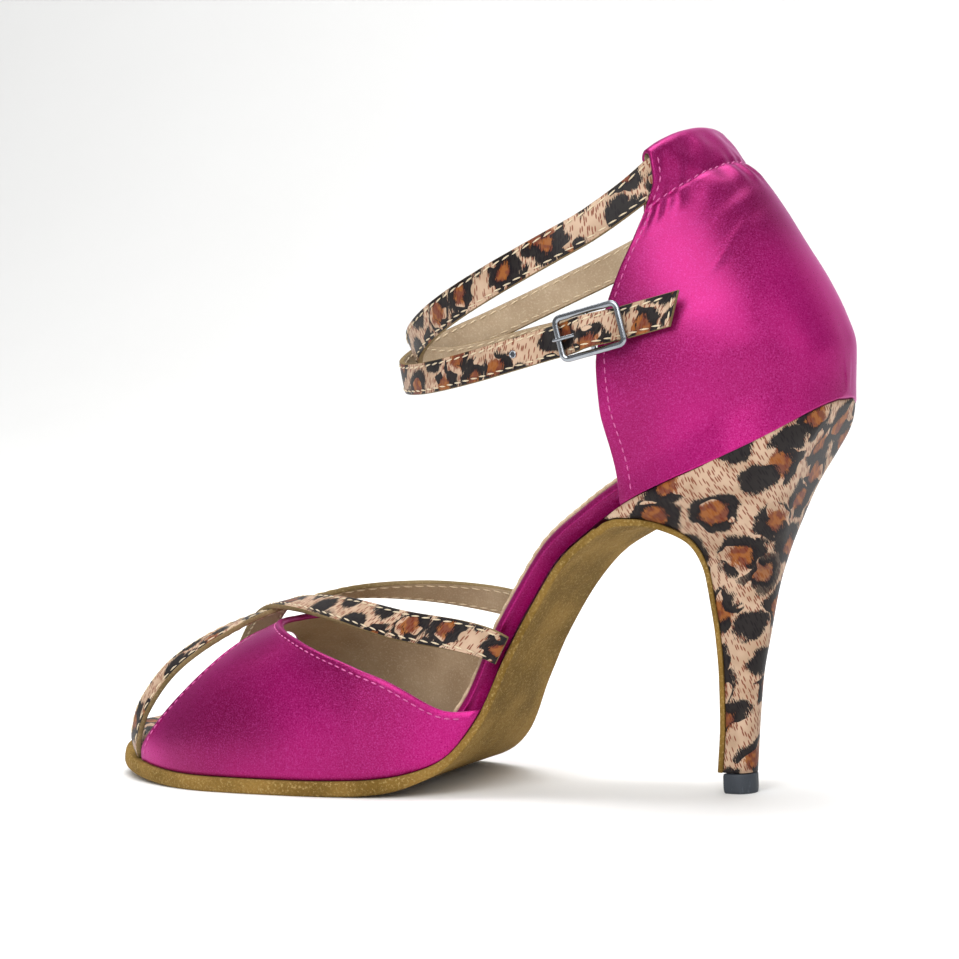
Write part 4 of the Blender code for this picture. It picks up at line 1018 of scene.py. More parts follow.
@dataclass
class HeelUnit:
    """The covered heel and its rubber top piece."""

    wear: Wardrobe
    stem: float = 9.6
    front_width: float = 0.92
    front_share: float = 0.45
    inset: float = 0.3
    top_piece: float = 5.0
    BREAST = Table(
        ("way", "forward", "up"),
        (
            (0.0, 1.061, 0.709), (0.08, 1.0, 0.731), (0.15, 0.93, 0.741), (0.23, 0.86, 0.74),
            (0.31, 0.798, 0.7315), (0.38, 0.728, 0.7125), (0.46, 0.672, 0.684), (0.54, 0.635, 0.642),
            (0.62, 0.614, 0.589), (0.69, 0.605, 0.516), (0.77, 0.5965, 0.421), (0.85, 0.593, 0.316),
            (0.92, 0.595, 0.19), (1.0, 0.612, 0.056),
        ),
    )
    TABLE = Table(
        ("level", "back", "up", "way", "width", "seat"),
        (
            (0.0, 0.482, 0.056, 1.0, 0.96, 0.0), (0.14, 0.462, 0.19, 0.92, 0.94, 0.0),
            (0.28, 0.437, 0.316, 0.85, 1.0, 0.0), (0.4, 0.4, 0.421, 0.77, 1.22, 0.0),
            (0.5, 0.358, 0.545, 0.66, 1.75, 0.0), (0.6, 0.312, 0.642, 0.51, 2.45, 0.04),
            (0.68, 0.268, 0.721, 0.42, 3.15, 0.12), (0.76, 0.21, 0.814, 0.33, 3.85, 0.28),
            (0.84, 0.138, 0.895, 0.25, 4.5, 0.52), (0.92, 0.066, 0.965, 0.17, 5.0, 0.78),
            (1.0, 0.012, 1.03, 0.092, 5.3, 1.0),
        ),
    )
    # Shares of the top piece's height and of the heel's lowest ring.
    TIP = ((1.0, 0.985), (0.98, 1.0), (0.88, 1.02), (0.28, 1.02), (0.12, 1.0), (0.03, 0.965), (0.0, 0.92))

    def place(self, level: float) -> Array:
        """Place (forward, up) on the back line."""
        back, up = (self.TABLE.read(column, level) for column in ("back", "up"))
        return np.array([back * LAST.seat, up * LAST.rise])

    def section(self, level: float, share: Array) -> tuple[Array, Array]:
        """Outer and inner half width at a share of the way from a section's front to its back."""
        back = self.TABLE.read("back", level) * LAST.seat
        front = self.BREAST.read("forward", self.TABLE.read("way", level)) * LAST.seat
        wider = np.sin(math.pi / 2 * np.clip(share / self.front_share, 0, 1))
        body = self.front_width + (1 - self.front_width) * wider
        left = np.clip((1 - share) / (1 - self.front_share), 0, 1)
        round_back = np.sqrt(np.maximum(1 - (1 - left) ** 2, 0))
        stem = self.TABLE.read("width", level) * self.stem / 2 * body * round_back
        seat = self.TABLE.read("seat", level)
        outer, inner = LAST.widths(front + (back - front) * share, self.inset)
        return stem + (outer - stem) * seat, stem + (inner - stem) * seat

    def breast(self, way: Array | float) -> tuple[Array, Array]:
        """Places (forward, up) on the breast line and the directions square to it, off the heel."""
        reach = 0.01

        def at(where: Array | float) -> Array:
            """A place on the line."""
            forward, up = self.BREAST.read("forward", where), self.BREAST.read("up", where)
            return np.stack([forward * LAST.seat, up * LAST.rise], -1)

        direction = unit(at(way + reach) - at(way - reach))
        return at(way), np.stack([-direction[..., 1], direction[..., 0]], -1)

    def rings(self, levels: Array, shares: Array) -> Array:
        """Rings of the heel: straight lines from front to back at each level, widened by section."""
        rings = []
        for level in levels:
            front, away = self.breast(float(self.TABLE.read("way", level)))
            front = front - away * self.inset
            line = front + (self.place(level) - front) * shares[:, None]
            outer, inner = self.section(level, shares)
            if level == levels[-1]:
                line[:, 1] = np.minimum(LAST.up(line[:, 0], outer), LAST.up(line[:, 0], -inner))
            outside, inside = (np.stack([line[:, 0], side, line[:, 1]], -1) for side in (outer, -inner))
            rings.append(np.concatenate([outside, inside[::-1]]))
        return np.stack(rings)

    def shares(self) -> Array:
        """Places along a section, closer together round the back."""
        turn = np.radians(np.linspace(0, 89, 22))
        flat = np.linspace(0, self.front_share, 10, endpoint=False)
        return np.concatenate([flat, self.front_share + (1 - self.front_share) * np.sin(turn)])

    def cover(self) -> None:
        """The leopard cover, its cloth flat on the outer side and wrapped on round the back."""
        levels = np.concatenate([np.linspace(0, 0.4, 24, endpoint=False), np.linspace(0.4, 1, 56)])
        rings = self.rings(levels, self.shares())
        steps = np.diff(rings[..., :2], axis=1, prepend=rings[:, :1, :2])
        wrap = rings[:, :1, 0] - np.cumsum(np.linalg.norm(steps, axis=-1), axis=1)
        piece = Piece("heel_cover")
        add_tube(piece, rings, np.stack([wrap, rings[..., 2]], -1))
        made = piece.build([self.wear.heel_leopard], Slot.LEOPARD)
        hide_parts("heel")

    def tip(self) -> None:
        """The top piece: the heel's lowest ring carried down, its edges rounded."""
        ring = self.rings(np.array([0.0, 1.0]), self.shares())[0]
        middle = ring.mean(axis=0)
        rows = []
        for height, share in self.TIP:
            row = middle + (ring - middle) * share
            row[:, 2] = height * self.top_piece
            rows.append(row)
        rows = np.stack(rows)
        piece = Piece("top_piece")
        add_tube(piece, rows, grid_lengths(rows))
        made = piece.build([self.wear.rubber], Slot.RUBBER)
        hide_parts("heel_tip")

    def build(self) -> None:
        """Makes both parts."""
        self.cover()
        self.tip()


@dataclass
class Strap:
    """A stitched strap along a path: print outside, suede inside, its outer face a little crowned."""

    path: Array
    widthways: Array
    width: float = 8.0
    thickness: float = 1.5
    slant: float = 0.0
    seam: float = 1.0
    seam_depth: float = 0.12
    seam_width: float = 0.07
    crown: float = 0.25
    lean_rings: int = 8
    ACROSS = np.concatenate([[-0.97], np.linspace(-0.92, 0.92, 9), [0.97]])

    def axes(self) -> tuple[Array, Array, Array]:
        """Directions ahead, across and outward at each point of the path."""
        ahead = unit(np.gradient(self.path, axis=0))
        across = unit(self.widthways - np.sum(self.widthways * ahead, -1, keepdims=True) * ahead)
        return ahead, across, np.cross(ahead, across)

    def lean(self, ahead: Array) -> Array:
        """How far each section leans forward at its edge: the slant at the end, fading over some rings."""
        fade = np.clip(1 - np.arange(len(self.path))[::-1] / self.lean_rings, 0, 1)
        return fade[:, None] * ahead * self.slant

    def faces(self) -> tuple[Array, Array, Array]:
        """Outer face, inner face and outward directions, as grids of points across the path.

        A point is path + t * width / 2 * across + thickness / 2 * (1 - crown * t^6) * outward,
        less a groove along each seam.
        """
        ahead, across, outward = self.axes()
        t = self.ACROSS
        seam = self.seam_depth * bell(np.abs(t), 1 - 2 * self.seam / self.width, self.seam_width)
        crown = self.thickness / 2 * (1 - self.crown * np.abs(t) ** 6) - seam
        spine = self.path[:, None] + (t * self.width / 2)[None, :, None] * across[:, None]
        spine = spine + t[None, :, None] * self.lean(ahead[-1])[:, None]
        front = spine + crown[None, :, None] * outward[:, None]
        back = spine - self.thickness / 2 * outward[:, None]
        return front, back, outward

    def lay(self, piece: Piece, shift: float = 0.0) -> None:
        """Adds the strap to a piece, with its print shifted along it."""
        front, back, _ = self.faces()
        side = self.ACROSS * self.width / 2
        uvs = np.stack(np.broadcast_arrays(running(self.path)[:, None] + shift, side[None, :]), -1)
        add_sheet(piece, front, back, uvs, (0, 1, 2), 0.25)

    def sew(self, stitching: Stitching, first: int = 0, last: int | None = None) -> None:
        """Adds a row of stitches along each edge of both faces, and one across a slanted tip."""
        ahead, across, outward = self.axes()
        top = self.path + self.thickness / 2 * 0.9 * outward
        low = self.path - self.thickness / 2 * outward
        reach = across * self.width / 2 + self.lean(ahead[-1])
        inset = 1 - 2 * self.seam / self.width
        for edge in (-inset, inset):
            stitching.row((top + edge * reach)[first:last], outward[first:last], edge * 9.0)
            stitching.row((low + edge * reach)[first:last], -outward[first:last], edge * 9.0)
        if self.slant:
            t = np.linspace(-inset, inset, 9)[:, None]
            stitching.row(top[-2] + t * reach[-2], np.broadcast_to(outward[-2], (9, 3)))


@dataclass
class ForepartUpper:
    """The satin vamp, open at the toe, and the two crossed straps."""

    wear: Wardrobe
    wall: float = 1.6
    bridge: float = 41.0
    gap: float = 0.45
    belly: float = 0.05
    side_power: float = 0.82
    top_power: float = 0.92
    seam: float = 1.9
    fold: float = 0.28
    seam_depth: float = 0.22
    RIDGE = Table(
        ("station", "height"),
        (
            (0.45, 2.05), (0.52, 1.75), (0.58, 1.45), (0.64, 1.22), (0.7, 1.06), (0.765, 0.92), (0.8, 0.83),
            (0.85, 0.68), (0.9, 0.52), (0.95, 0.38), (1.0, 0.28),
        ),
    )
    EDGES = Table(
        ("climb", "front", "outer_rear", "inner_rear"),
        (
            (0.0, 0.918, 0.437, 0.455), (0.06, 0.918, 0.463, 0.48), (0.12, 0.915, 0.492, 0.506),
            (0.2, 0.906, 0.53, 0.541), (0.3, 0.89, 0.58, 0.588), (0.4, 0.872, 0.624, 0.63),
            (0.52, 0.846, 0.668, 0.672), (0.66, 0.82, 0.709, 0.711), (0.8, 0.801, 0.737, 0.738),
            (0.92, 0.79, 0.751, 0.751), (1.0, 0.787, 0.755, 0.755),
        ),
    )
    # Station, side and height as shares, then the direction that the strap's outer face looks in.
    OVER = (
        (0.94, -0.605, 0.178, 0.7, -0.7, 0.1), (0.938, -0.64, 0.27, 0.6, -0.7, 0.3),
        (0.922, -0.65, 0.48, 0.5, -0.7, 0.5), (0.888, -0.54, 0.73, 0.4, -0.6, 0.7),
        (0.842, -0.32, 0.945, 0.3, -0.4, 0.9), (0.785, -0.03, 1.1, 0.2, 0.0, 1.0),
        (0.71, 0.3, 1.15, 0.0, 0.4, 0.9), (0.625, 0.56, 1.13, -0.1, 0.7, 0.7),
        (0.535, 0.7, 1.055, -0.1, 0.9, 0.4), (0.46, 0.69, 1.0, -0.1, 1.0, 0.2),
        (0.425, 0.64, 0.95, -0.1, 1.0, 0.0), (0.407, 0.6, 0.9, -0.1, 1.0, -0.1),
    )
    UNDER = (
        (0.94, 0.535, 0.178, 0.7, 0.7, 0.1), (0.938, 0.565, 0.27, 0.6, 0.7, 0.3),
        (0.922, 0.575, 0.48, 0.5, 0.7, 0.5), (0.888, 0.49, 0.73, 0.4, 0.6, 0.7),
        (0.842, 0.3, 0.925, 0.3, 0.4, 0.9), (0.785, 0.03, 1.073, 0.2, 0.0, 1.0),
        (0.71, -0.3, 1.165, 0.0, -0.4, 0.9), (0.625, -0.53, 1.165, -0.1, -0.7, 0.7),
        (0.535, -0.62, 1.11, -0.1, -0.9, 0.4), (0.47, -0.52, 1.05, -0.1, -1.0, 0.2),
        (0.44, -0.445, 0.97, -0.1, -1.0, 0.0), (0.42, -0.415, 0.9, -0.1, -1.0, -0.1),
    )

    def point(self, forward: Array, angle: Array) -> Array:
        """The outer face: superellipse sections, turned from the outer edge (0) to the inner (pi)."""
        outer, inner = LAST.widths(forward)
        near = angle < math.pi / 2
        edge_up = np.where(near, LAST.up(forward, outer), LAST.up(forward, -inner)) + self.gap
        ridge = LAST.floor + self.RIDGE.read("height", forward / LAST.length) * self.bridge
        cos, sin = np.cos(angle), np.sin(angle)
        belly = 1 + self.belly * np.sin(2 * np.minimum(angle, math.pi - angle))
        side = np.sign(cos) * np.abs(cos) ** self.side_power * np.where(near, outer, inner) * belly
        climb = np.maximum(sin, 0) ** self.top_power
        return np.stack([forward, side, edge_up + (ridge - edge_up) * climb], -1)

    def face(self, angle: Array, share: Array) -> Array:
        """Points at shares of the way from the front edge (0) to the rear edge (1)."""
        climb = 1 - np.abs(angle / (math.pi / 2) - 1)
        edges = ("front", "outer_rear", "inner_rear")
        front, outer, inner = (self.EDGES.read(edge, climb) for edge in edges)
        rear = np.where(angle < math.pi / 2, outer, inner)
        return self.point((front + (rear - front) * share) * LAST.length, angle)

    def vamp(self) -> None:
        """The vamp as a sheet between its outer face and one set in by the wall's thickness."""
        rows, columns = 61, 121
        share, angle = np.meshgrid(np.linspace(0, 1, rows), np.linspace(0, math.pi, columns), indexing="ij")
        outside = self.face(angle, share)
        normal = grid_normals(outside)
        normal = normal if normal[rows // 2, columns // 2, 2] > 0 else -normal
        arc = np.cumsum(np.linalg.norm(np.diff(outside, axis=0, prepend=outside[:1]), axis=-1), axis=0)
        edge = np.minimum(arc, arc[-1:] - arc)
        fold = self.fold * bell(edge, 0.9, 0.8) - self.seam_depth * bell(edge, self.seam, 0.35)
        inside = outside - normal * self.wall
        inside[..., 2] = np.maximum(inside[..., 2], LAST.up(inside[..., 0], inside[..., 1]) + 0.3)
        outside = outside + normal * fold[..., None]
        piece = Piece("vamp_satin")
        add_sheet(piece, outside, inside, grid_lengths(outside), (0, 1, 0), 0.6)
        made = piece.build([self.wear.satin, self.wear.lining], Slot.SATIN)
        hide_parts("vamp")
        stitching = Stitching("vamp_stitches", Stitching.SEAM)
        for row in (0, -1):
            away = np.abs(arc[row] - self.seam)
            line = [
                [np.interp(away[j], arc[:, j], outside[:, j, k]) for k in range(3)]
                for j in range(2, columns - 2)
            ]
            stitching.row(np.array(line), normal[row, 2:-2])
        stitching.build(self.wear.satin_thread, Slot.SATIN)

    def strap(self, rows: tuple[tuple[float, ...], ...]) -> Strap:
        """A strap whose width lies square to the way its outer face looks."""
        table = np.array(rows) * (LAST.length, LAST.width / 2, self.bridge, 1, 1, 1)
        path = smooth_path(table, 1.2)
        ahead = unit(np.gradient(path[:, :3], axis=0))
        return Strap(path[:, :3], np.cross(unit(path[:, 3:]), ahead))

    def straps(self) -> None:
        """The two straps and their stitches."""
        stitching = Stitching("vamp_strap_stitches", Stitching.STRAP)
        for name, rows, shift in (
            ("vamp_strap_over", self.OVER, 5.0),
            ("vamp_strap_under", self.UNDER, 160.0),
        ):
            strap = self.strap(rows)
            piece = Piece(name)
            strap.lay(piece, shift)
            made = piece.build(self.wear.strap, Slot.LEOPARD)
            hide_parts("vamp_straps")
            strap.sew(stitching, 3, -2)
        stitching.build(self.wear.cream_thread, Slot.LEOPARD)

    def build(self) -> None:
        """Makes the vamp and the straps."""
        self.vamp()
        self.straps()


@dataclass
class HeelUpper:
    """The satin counter with the folded casing that carries the ankle strap."""

    wear: Wardrobe
    height: float = 67.0
    width: float = 66.0
    wall: float = 1.6
    casing_wall: float = 1.0
    tunnel: float = 2.4
    strap_level: float = 0.945
    seam_level: float = 0.866
    side_blend: float = 0.30
    foot_blend: float = 0.08
    gap: float = 0.45
    SPANS = ((0, 0.30, 22), (0.315, 0.80, 34), (0.81, 1.0, 28))
    TURNS = (22, 45, 67, 90, 113, 135, 158)
    RINGS = Table(
        ("level", "back", "back_up", "front", "front_up", "width", "sweep", "fullness"),
        (
            (0.0, 0.005, 0.0, 0.905, 0.0, 0.73, 90, 3.0), (0.08, -0.003, 0.075, 0.911, 0.09, 0.79, 90, 2.8),
            (0.18, 0.0, 0.179, 0.916, 0.209, 0.875, 90, 2.6),
            (0.3, 0.046, 0.306, 0.921, 0.366, 0.968, 90, 2.4),
            (0.42, 0.119, 0.433, 0.926, 0.515, 0.99, 90, 2.3),
            (0.55, 0.219, 0.575, 0.895, 0.687, 0.955, 86, 2.2),
            (0.68, 0.312, 0.709, 0.837, 0.851, 0.885, 79, 2.1),
            (0.8, 0.404, 0.821, 0.768, 0.994, 0.805, 69, 2.0),
            (0.87, 0.49, 0.884, 0.73, 1.084, 0.758, 62, 2.0),
            (0.93, 0.555, 0.945, 0.694, 1.179, 0.733, 57, 2.0),
            (1.0, 0.622, 1.0, 0.705, 1.269, 0.727, 54, 2.0),
        ),
    )

    def point(self, level: Array, share: Array) -> Array:
        """The outer face at a level, from the inner front edge (-1) round the back to the outer (1).

        A ring is a superellipse in plan, swept up to an angle, that also climbs towards its front.
        """
        level, share = np.broadcast_arrays(level, share)
        sweep = np.radians(self.RINGS.read("sweep", level))
        power = 2 / self.RINGS.read("fullness", level)
        turn = np.abs(share) * sweep
        ahead = (1 - np.maximum(np.cos(turn), 0) ** power) / (1 - np.maximum(np.cos(sweep), 0) ** power)
        aside = np.sin(turn) ** power / np.sin(sweep) ** power
        back = self.RINGS.read("back", level) * LAST.seat
        front = self.RINGS.read("front", level) * LAST.seat
        forward = back + (front - back) * ahead
        side = aside * self.RINGS.read("width", level) * self.width / 2
        outer, inner = LAST.widths(np.maximum(forward, 0.02))
        side = side + (np.where(share > 0, outer, inner) - side) * ease(1 - level / self.side_blend)
        side = np.sign(share) * side
        seat_front = self.RINGS.rows[0, 3] * LAST.seat
        low, high = (LAST.up(np.array(f), np.array(0.0)) for f in (0.0, seat_front))
        back_up = low + self.RINGS.read("back_up", level) * self.height
        front_up = high + self.RINGS.read("front_up", level) * self.height
        up = back_up + (front_up - back_up) * ahead
        up = up + (LAST.up(forward, side) - up) * ease(1 - level / self.foot_blend) + self.gap
        return np.stack([forward, side, up], -1)

    def frame(self, level: Array, share: Array) -> tuple[Array, Array, Array]:
        """Place, outward direction and upward direction on the outer face."""
        reach = 0.004
        share = np.where(np.abs(share) < 2 * reach, np.where(share < 0, -2, 2) * reach, share)
        along = self.point(level, share + reach) - self.point(level, share - reach)
        climb = self.point(np.minimum(level + reach, 1), share) - self.point(level - reach, share)
        return self.point(level, share), -unit(np.cross(along, climb)), unit(climb)

    def folds(self, level: Array, share: Array) -> Array:
        """How far the satin stands off: gathers and a groove at the seam, a crease by the strap's tip, a soft
        hollow and a pucker.

        Ripples across the seam fade away from it as a Gaussian of the level.
        """
        ripple = np.sin(share * 31 + 2 * np.sin(share * 7)) * 0.30 * bell(level, 0.835, 0.05)
        ripple = ripple + np.sin(share * 19 + 1.2) * 0.22 * bell(level, 0.95, 0.04)
        seam = -0.55 * bell(level, self.seam_level, 0.008) - 0.20 * bell(level, self.seam_level, 0.03)
        crease = 0.45 * bell(level - 0.56 + 0.45 * (share - 0.52), 0, 0.012) * bell(share, 0.45, 0.12)
        hollow = -0.5 * bell(level, 0.50, 0.12) * bell(share, 0.86, 0.16)
        pucker = 0.25 * np.sin(level * 60 + share * 9) * bell(level, 0.72, 0.08) * bell(share, 0.25, 0.22)
        return ripple + seam + crease + hollow + pucker

    def counter(self) -> None:
        """The wall, with the casing turned over at its top and joined to the inside at the seam."""
        shares = np.linspace(-1, 1, 161)
        levels = np.concatenate([np.linspace(*span) for span in self.SPANS])
        level, share = np.meshgrid(levels, shares, indexing="ij")
        outside = self.point(level, share)
        normal = grid_normals(outside)
        normal = normal if normal[40, 80, 0] < 0 else -normal
        wall = self.wall + (self.casing_wall - self.wall) * ease((level - 0.80) / 0.08)
        inside = outside - normal * wall[..., None]
        inside[0, :, 2] = LAST.up(inside[0, :, 0], inside[0, :, 1]) + self.gap
        top, out, up = outside[-1], normal[-1], unit(outside[-1] - outside[-2])
        centre = top - out * (self.casing_wall + self.tunnel / 2)
        skin = [outside + normal * self.folds(level, share)[..., None]]
        lining = [inside]
        for turn in np.radians(self.TURNS):
            swing = out * math.cos(turn) + up * math.sin(turn)
            skin.append((centre + swing * (self.casing_wall + self.tunnel / 2))[None])
            lining.append((centre + swing * self.tunnel / 2)[None])
        for row in range(len(levels) - 1, 0, -2):
            if levels[row] < 0.85:
                break
            closing = (self.tunnel - 0.6) * ease((0.885 - levels[row]) / 0.035)
            depth = self.casing_wall + self.tunnel - closing
            lining.append((outside[row] - normal[row] * depth)[None])
            skin.append((outside[row] - normal[row] * (depth + self.casing_wall))[None])
        skin, lining = np.concatenate(skin), np.concatenate(lining)
        piece = Piece("counter_satin")
        add_sheet(piece, skin, lining, grid_lengths(skin), (0, 1, 0), 0.5)
        made = piece.build([self.wear.satin, self.wear.lining], Slot.SATIN)
        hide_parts("counter")

    def stitches(self) -> None:
        """One row along each front edge and one along the casing's seam."""
        stitching = Stitching("counter_stitches", Stitching.SEAM)
        climb = np.linspace(0.04, 0.99, 120)
        for edge in (-1, 1):
            reach = self.point(climb, 0.99 * edge) - self.point(climb, 0.93 * edge)
            share = edge * (1 - 2.0 * 0.06 / np.linalg.norm(reach, axis=-1))
            place, out, _ = self.frame(climb, share)
            place = place + out * self.folds(climb, share)[:, None]
            stitching.row(place, out)
        share = np.linspace(-0.99, 0.99, 200)
        level = np.full(200, self.seam_level)
        place, out, _ = self.frame(level, share)
        place = place + out * (self.folds(level, share)[:, None] + 0.05)
        stitching.row(place, out, 12.0)
        stitching.build(self.wear.satin_thread, Slot.SATIN)

    def build(self) -> None:
        """Makes the counter and its stitches."""
        self.counter()
        self.stitches()


@dataclass
class AnkleFastening:
    """The ankle strap, the buckle and the tab that holds it."""

    wear: Wardrobe
    upper: HeelUpper
    centre: Triple = (0.9035, 1.1515, 0.2746)
    lean: float = 16.0
    slant: float = 2.2
    eyelet_back: float = 47.0
    eyelet_radius: float = 0.8
    eyelet_wire: float = 0.24
    # Radius of the dark disc of painted shade that fills the pinhole.
    hole_shade_radius: float = 0.7
    heading: Triple = (19.0, 2.0, -4.6)
    tab_radius: float = 1.3
    strap_lay: float = 1.85
    prong_lay: float = 1.55
    length: float = 18.0
    width: float = 11.9
    wire: float = 1.6
    corner: float = 1.5
    bar: float = 0.6
    prong: float = 0.45
    tab_width: float = 6.0
    tab_thickness: float = 0.8
    # Forward, side and up as shares of the heel seat, half the counter's width and its height, then how far
    # the strap's width leans forward, in degrees.
    START = (
        (0.807, -1.0273, 0.3537, 13), (1.0351, -1.0606, 0.3358, 13), (1.2632, -1.0727, 0.3104, 13),
        (1.5263, -1.0061, 0.2716, 13), (1.7719, -0.8273, 0.2239, 12), (1.9333, -0.5545, 0.1806, 10),
        (2.0386, -0.2576, 0.1582, 10), (2.0702, 0.0606, 0.1731, 16), (2.0228, 0.3636, 0.2179, 25),
        (1.8947, 0.6515, 0.2806, 30), (1.6842, 0.897, 0.3657, 33), (1.4035, 1.0424, 0.4716, 33),
        (1.1316, 1.0303, 0.5806, 33), (0.9737, 0.897, 0.6597, 33), (0.807, 0.7636, 0.7642, 28),
    )
    FINISH = (
        (0.807, -0.7636, 0.7731, 28), (0.9737, -0.897, 0.6866, 33), (1.1316, -1.0364, 0.6179, 33),
        (1.4035, -1.0667, 0.5164, 33), (1.6842, -0.9515, 0.409, 33), (1.9298, -0.7455, 0.306, 20),
        (2.0772, -0.4061, 0.2269, 13), (2.1263, -0.0606, 0.1672, 11), (2.1158, 0.2061, 0.1284, 12),
        (2.0404, 0.4606, 0.1075, 10), (1.8947, 0.697, 0.1075, 10), (1.7105, 0.8848, 0.1254, 12),
        (1.5088, 1.0182, 0.1552, 14), (1.3421, 1.103, 0.1851, 15),
    )
    # Shares along the buckle and out of it.
    WEAVE = (
        (0.7222, -1.027), (0.5833, -1.1081), (0.4444, -1.0811), (0.2556, -0.0541), (0.1333, 1.0811),
        (0.0, 1.575), (-0.1333, 1.0811), (-0.2556, -0.0541), (-0.4444, -1.0811), (-0.6667, -1.2432),
        (-0.9167, -1.3514), (-1.1944, -1.4054),
    )
    TAB = (
        (-11.5385, -3.4615), (-7.6923, -3.5), (-4.6154, -3.2692), (-2.4615, -2.3077), (-1.0769, -1.3462),
        (-0.0769, -1.0), (0.7077, -0.7077), (1.0, 0.0), (0.7077, 0.7077), (0.0, 1.0), (-0.7077, 0.7077),
    )
    PRONG = (
        (-0.025, -0.8065), (-0.0639, -0.4194), (-0.0722, 0.0645), (-0.0528, 0.6129), (0.0, 0.9032),
        (0.1333, 0.9677), (0.2778, 1.0452), (0.4222, 1.0452), (0.5222, 0.9355),
    )

    def axes(self) -> tuple[Array, Array, Array]:
        """Forward, width and outward directions of the buckle."""
        forward = unit(np.array(self.heading))
        turn = math.radians(self.lean)
        width = np.array((math.sin(turn), 0.0, math.cos(turn)))
        width = unit(width - np.dot(width, forward) * forward)
        return forward, width, np.cross(width, forward)

    def ankle(self, shares: Array) -> Array:
        """Places from shares of the heel seat, half the counter's width and its height."""
        sizes = (LAST.seat, self.upper.width / 2, self.upper.height)
        return shares * np.array(sizes) + (0, 0, LAST.floor + LAST.rise)

    def on_buckle(self, rows: tuple[tuple[float, float], ...], along: float, out: float) -> Array:
        """Places in the buckle's middle plane from rows of shares of two sizes.

        Args:
            rows: Shares along the buckle and out of it.
            along: The size of the first ones.
            out: The size of the second ones.

        Returns:
            The places.
        """
        forward, _, outward = self.axes()
        shares = np.array(rows) * (along, out)
        return self.middle() + shares[:, :1] * forward + shares[:, 1:] * outward

    def middle(self) -> Array:
        """The middle of the buckle."""
        return self.ankle(np.array(self.centre))

    def strap(self) -> Strap:
        """The whole strap: sewn end, front, casing, front again, buckle and slanted tip."""
        shares = np.linspace(0.93, -0.93, 11)
        place, outward, climb = self.upper.frame(np.full(11, self.upper.strap_level), shares)
        depth = self.upper.casing_wall + self.upper.tunnel / 2
        casing = np.concatenate([place - outward * depth, climb], 1)
        parts = []
        for rows in (self.START, self.FINISH):
            table = np.array(rows)
            turn = np.radians(table[:, 3])
            parts.append(np.column_stack([self.ankle(table[:, :3]), np.sin(turn), 0 * turn, np.cos(turn)]))
        weave = self.on_buckle(self.WEAVE, self.length, self.strap_lay)
        weave = np.concatenate([weave, np.broadcast_to(self.axes()[1], weave.shape)], 1)
        path = np.concatenate([parts[0], casing, parts[1], weave])
        path = smooth_path(path, 0.9)
        return Strap(path[:, :3], path[:, 3:], slant=self.slant)

    def eyelet(self, strap: Strap) -> None:
        """The metal-rimmed pinhole ahead of the buckle, as a wire ring round a dark disc of painted shade in
        the hole.
        """
        along = running(strap.path)
        at = int(np.searchsorted(along, along[-1] - self.eyelet_back))
        outward = strap.faces()[2][at]
        ahead = unit(strap.path[at + 1] - strap.path[at - 1])
        centre = strap.path[at] + strap.thickness / 2 * outward
        turn = (np.arange(24) * 2 * math.pi / 24)[:, None]
        spokes = np.cos(turn) * ahead + np.sin(turn) * np.cross(outward, ahead)
        rim = centre + self.eyelet_radius * spokes
        piece = Piece("strap_eyelet")
        rings = wire_rings(rim, np.broadcast_to(outward, rim.shape), circle(self.eyelet_wire, 8), closed=True)
        add_tube(piece, rings, closed=True)
        # Painted shade: a dark rubber disc fills the pinhole.
        hole_shade = centre + self.hole_shade_radius * spokes
        hole_shade = np.stack([hole_shade - 0.3 * outward, hole_shade + 0.06 * outward])
        add_tube(piece, hole_shade, slot=1)
        piece.build([self.wear.metal, self.wear.rubber], Slot.METAL)

    def leather(self) -> None:
        """The strap with its stitches and eyelet, and the tab."""
        strap = self.strap()
        piece = Piece("ankle_strap_print")
        strap.lay(piece)
        made = piece.build(self.wear.strap, Slot.LEOPARD)
        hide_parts("ankle_strap")
        stitching = Stitching("ankle_strap_stitches", Stitching.STRAP)
        strap.sew(stitching, 2, -3)
        stitching.build(self.wear.cream_thread, Slot.LEOPARD)
        self.eyelet(strap)
        path = smooth_path(self.on_buckle(self.TAB, self.tab_radius, self.tab_radius), 0.35)
        tab = Strap(path, np.broadcast_to(self.axes()[1], path.shape), self.tab_width, self.tab_thickness)
        piece = Piece("buckle_tab_print")
        tab.lay(piece, 40.0)
        made = piece.build(self.wear.strap, Slot.LEOPARD)
        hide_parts("buckle_tab")

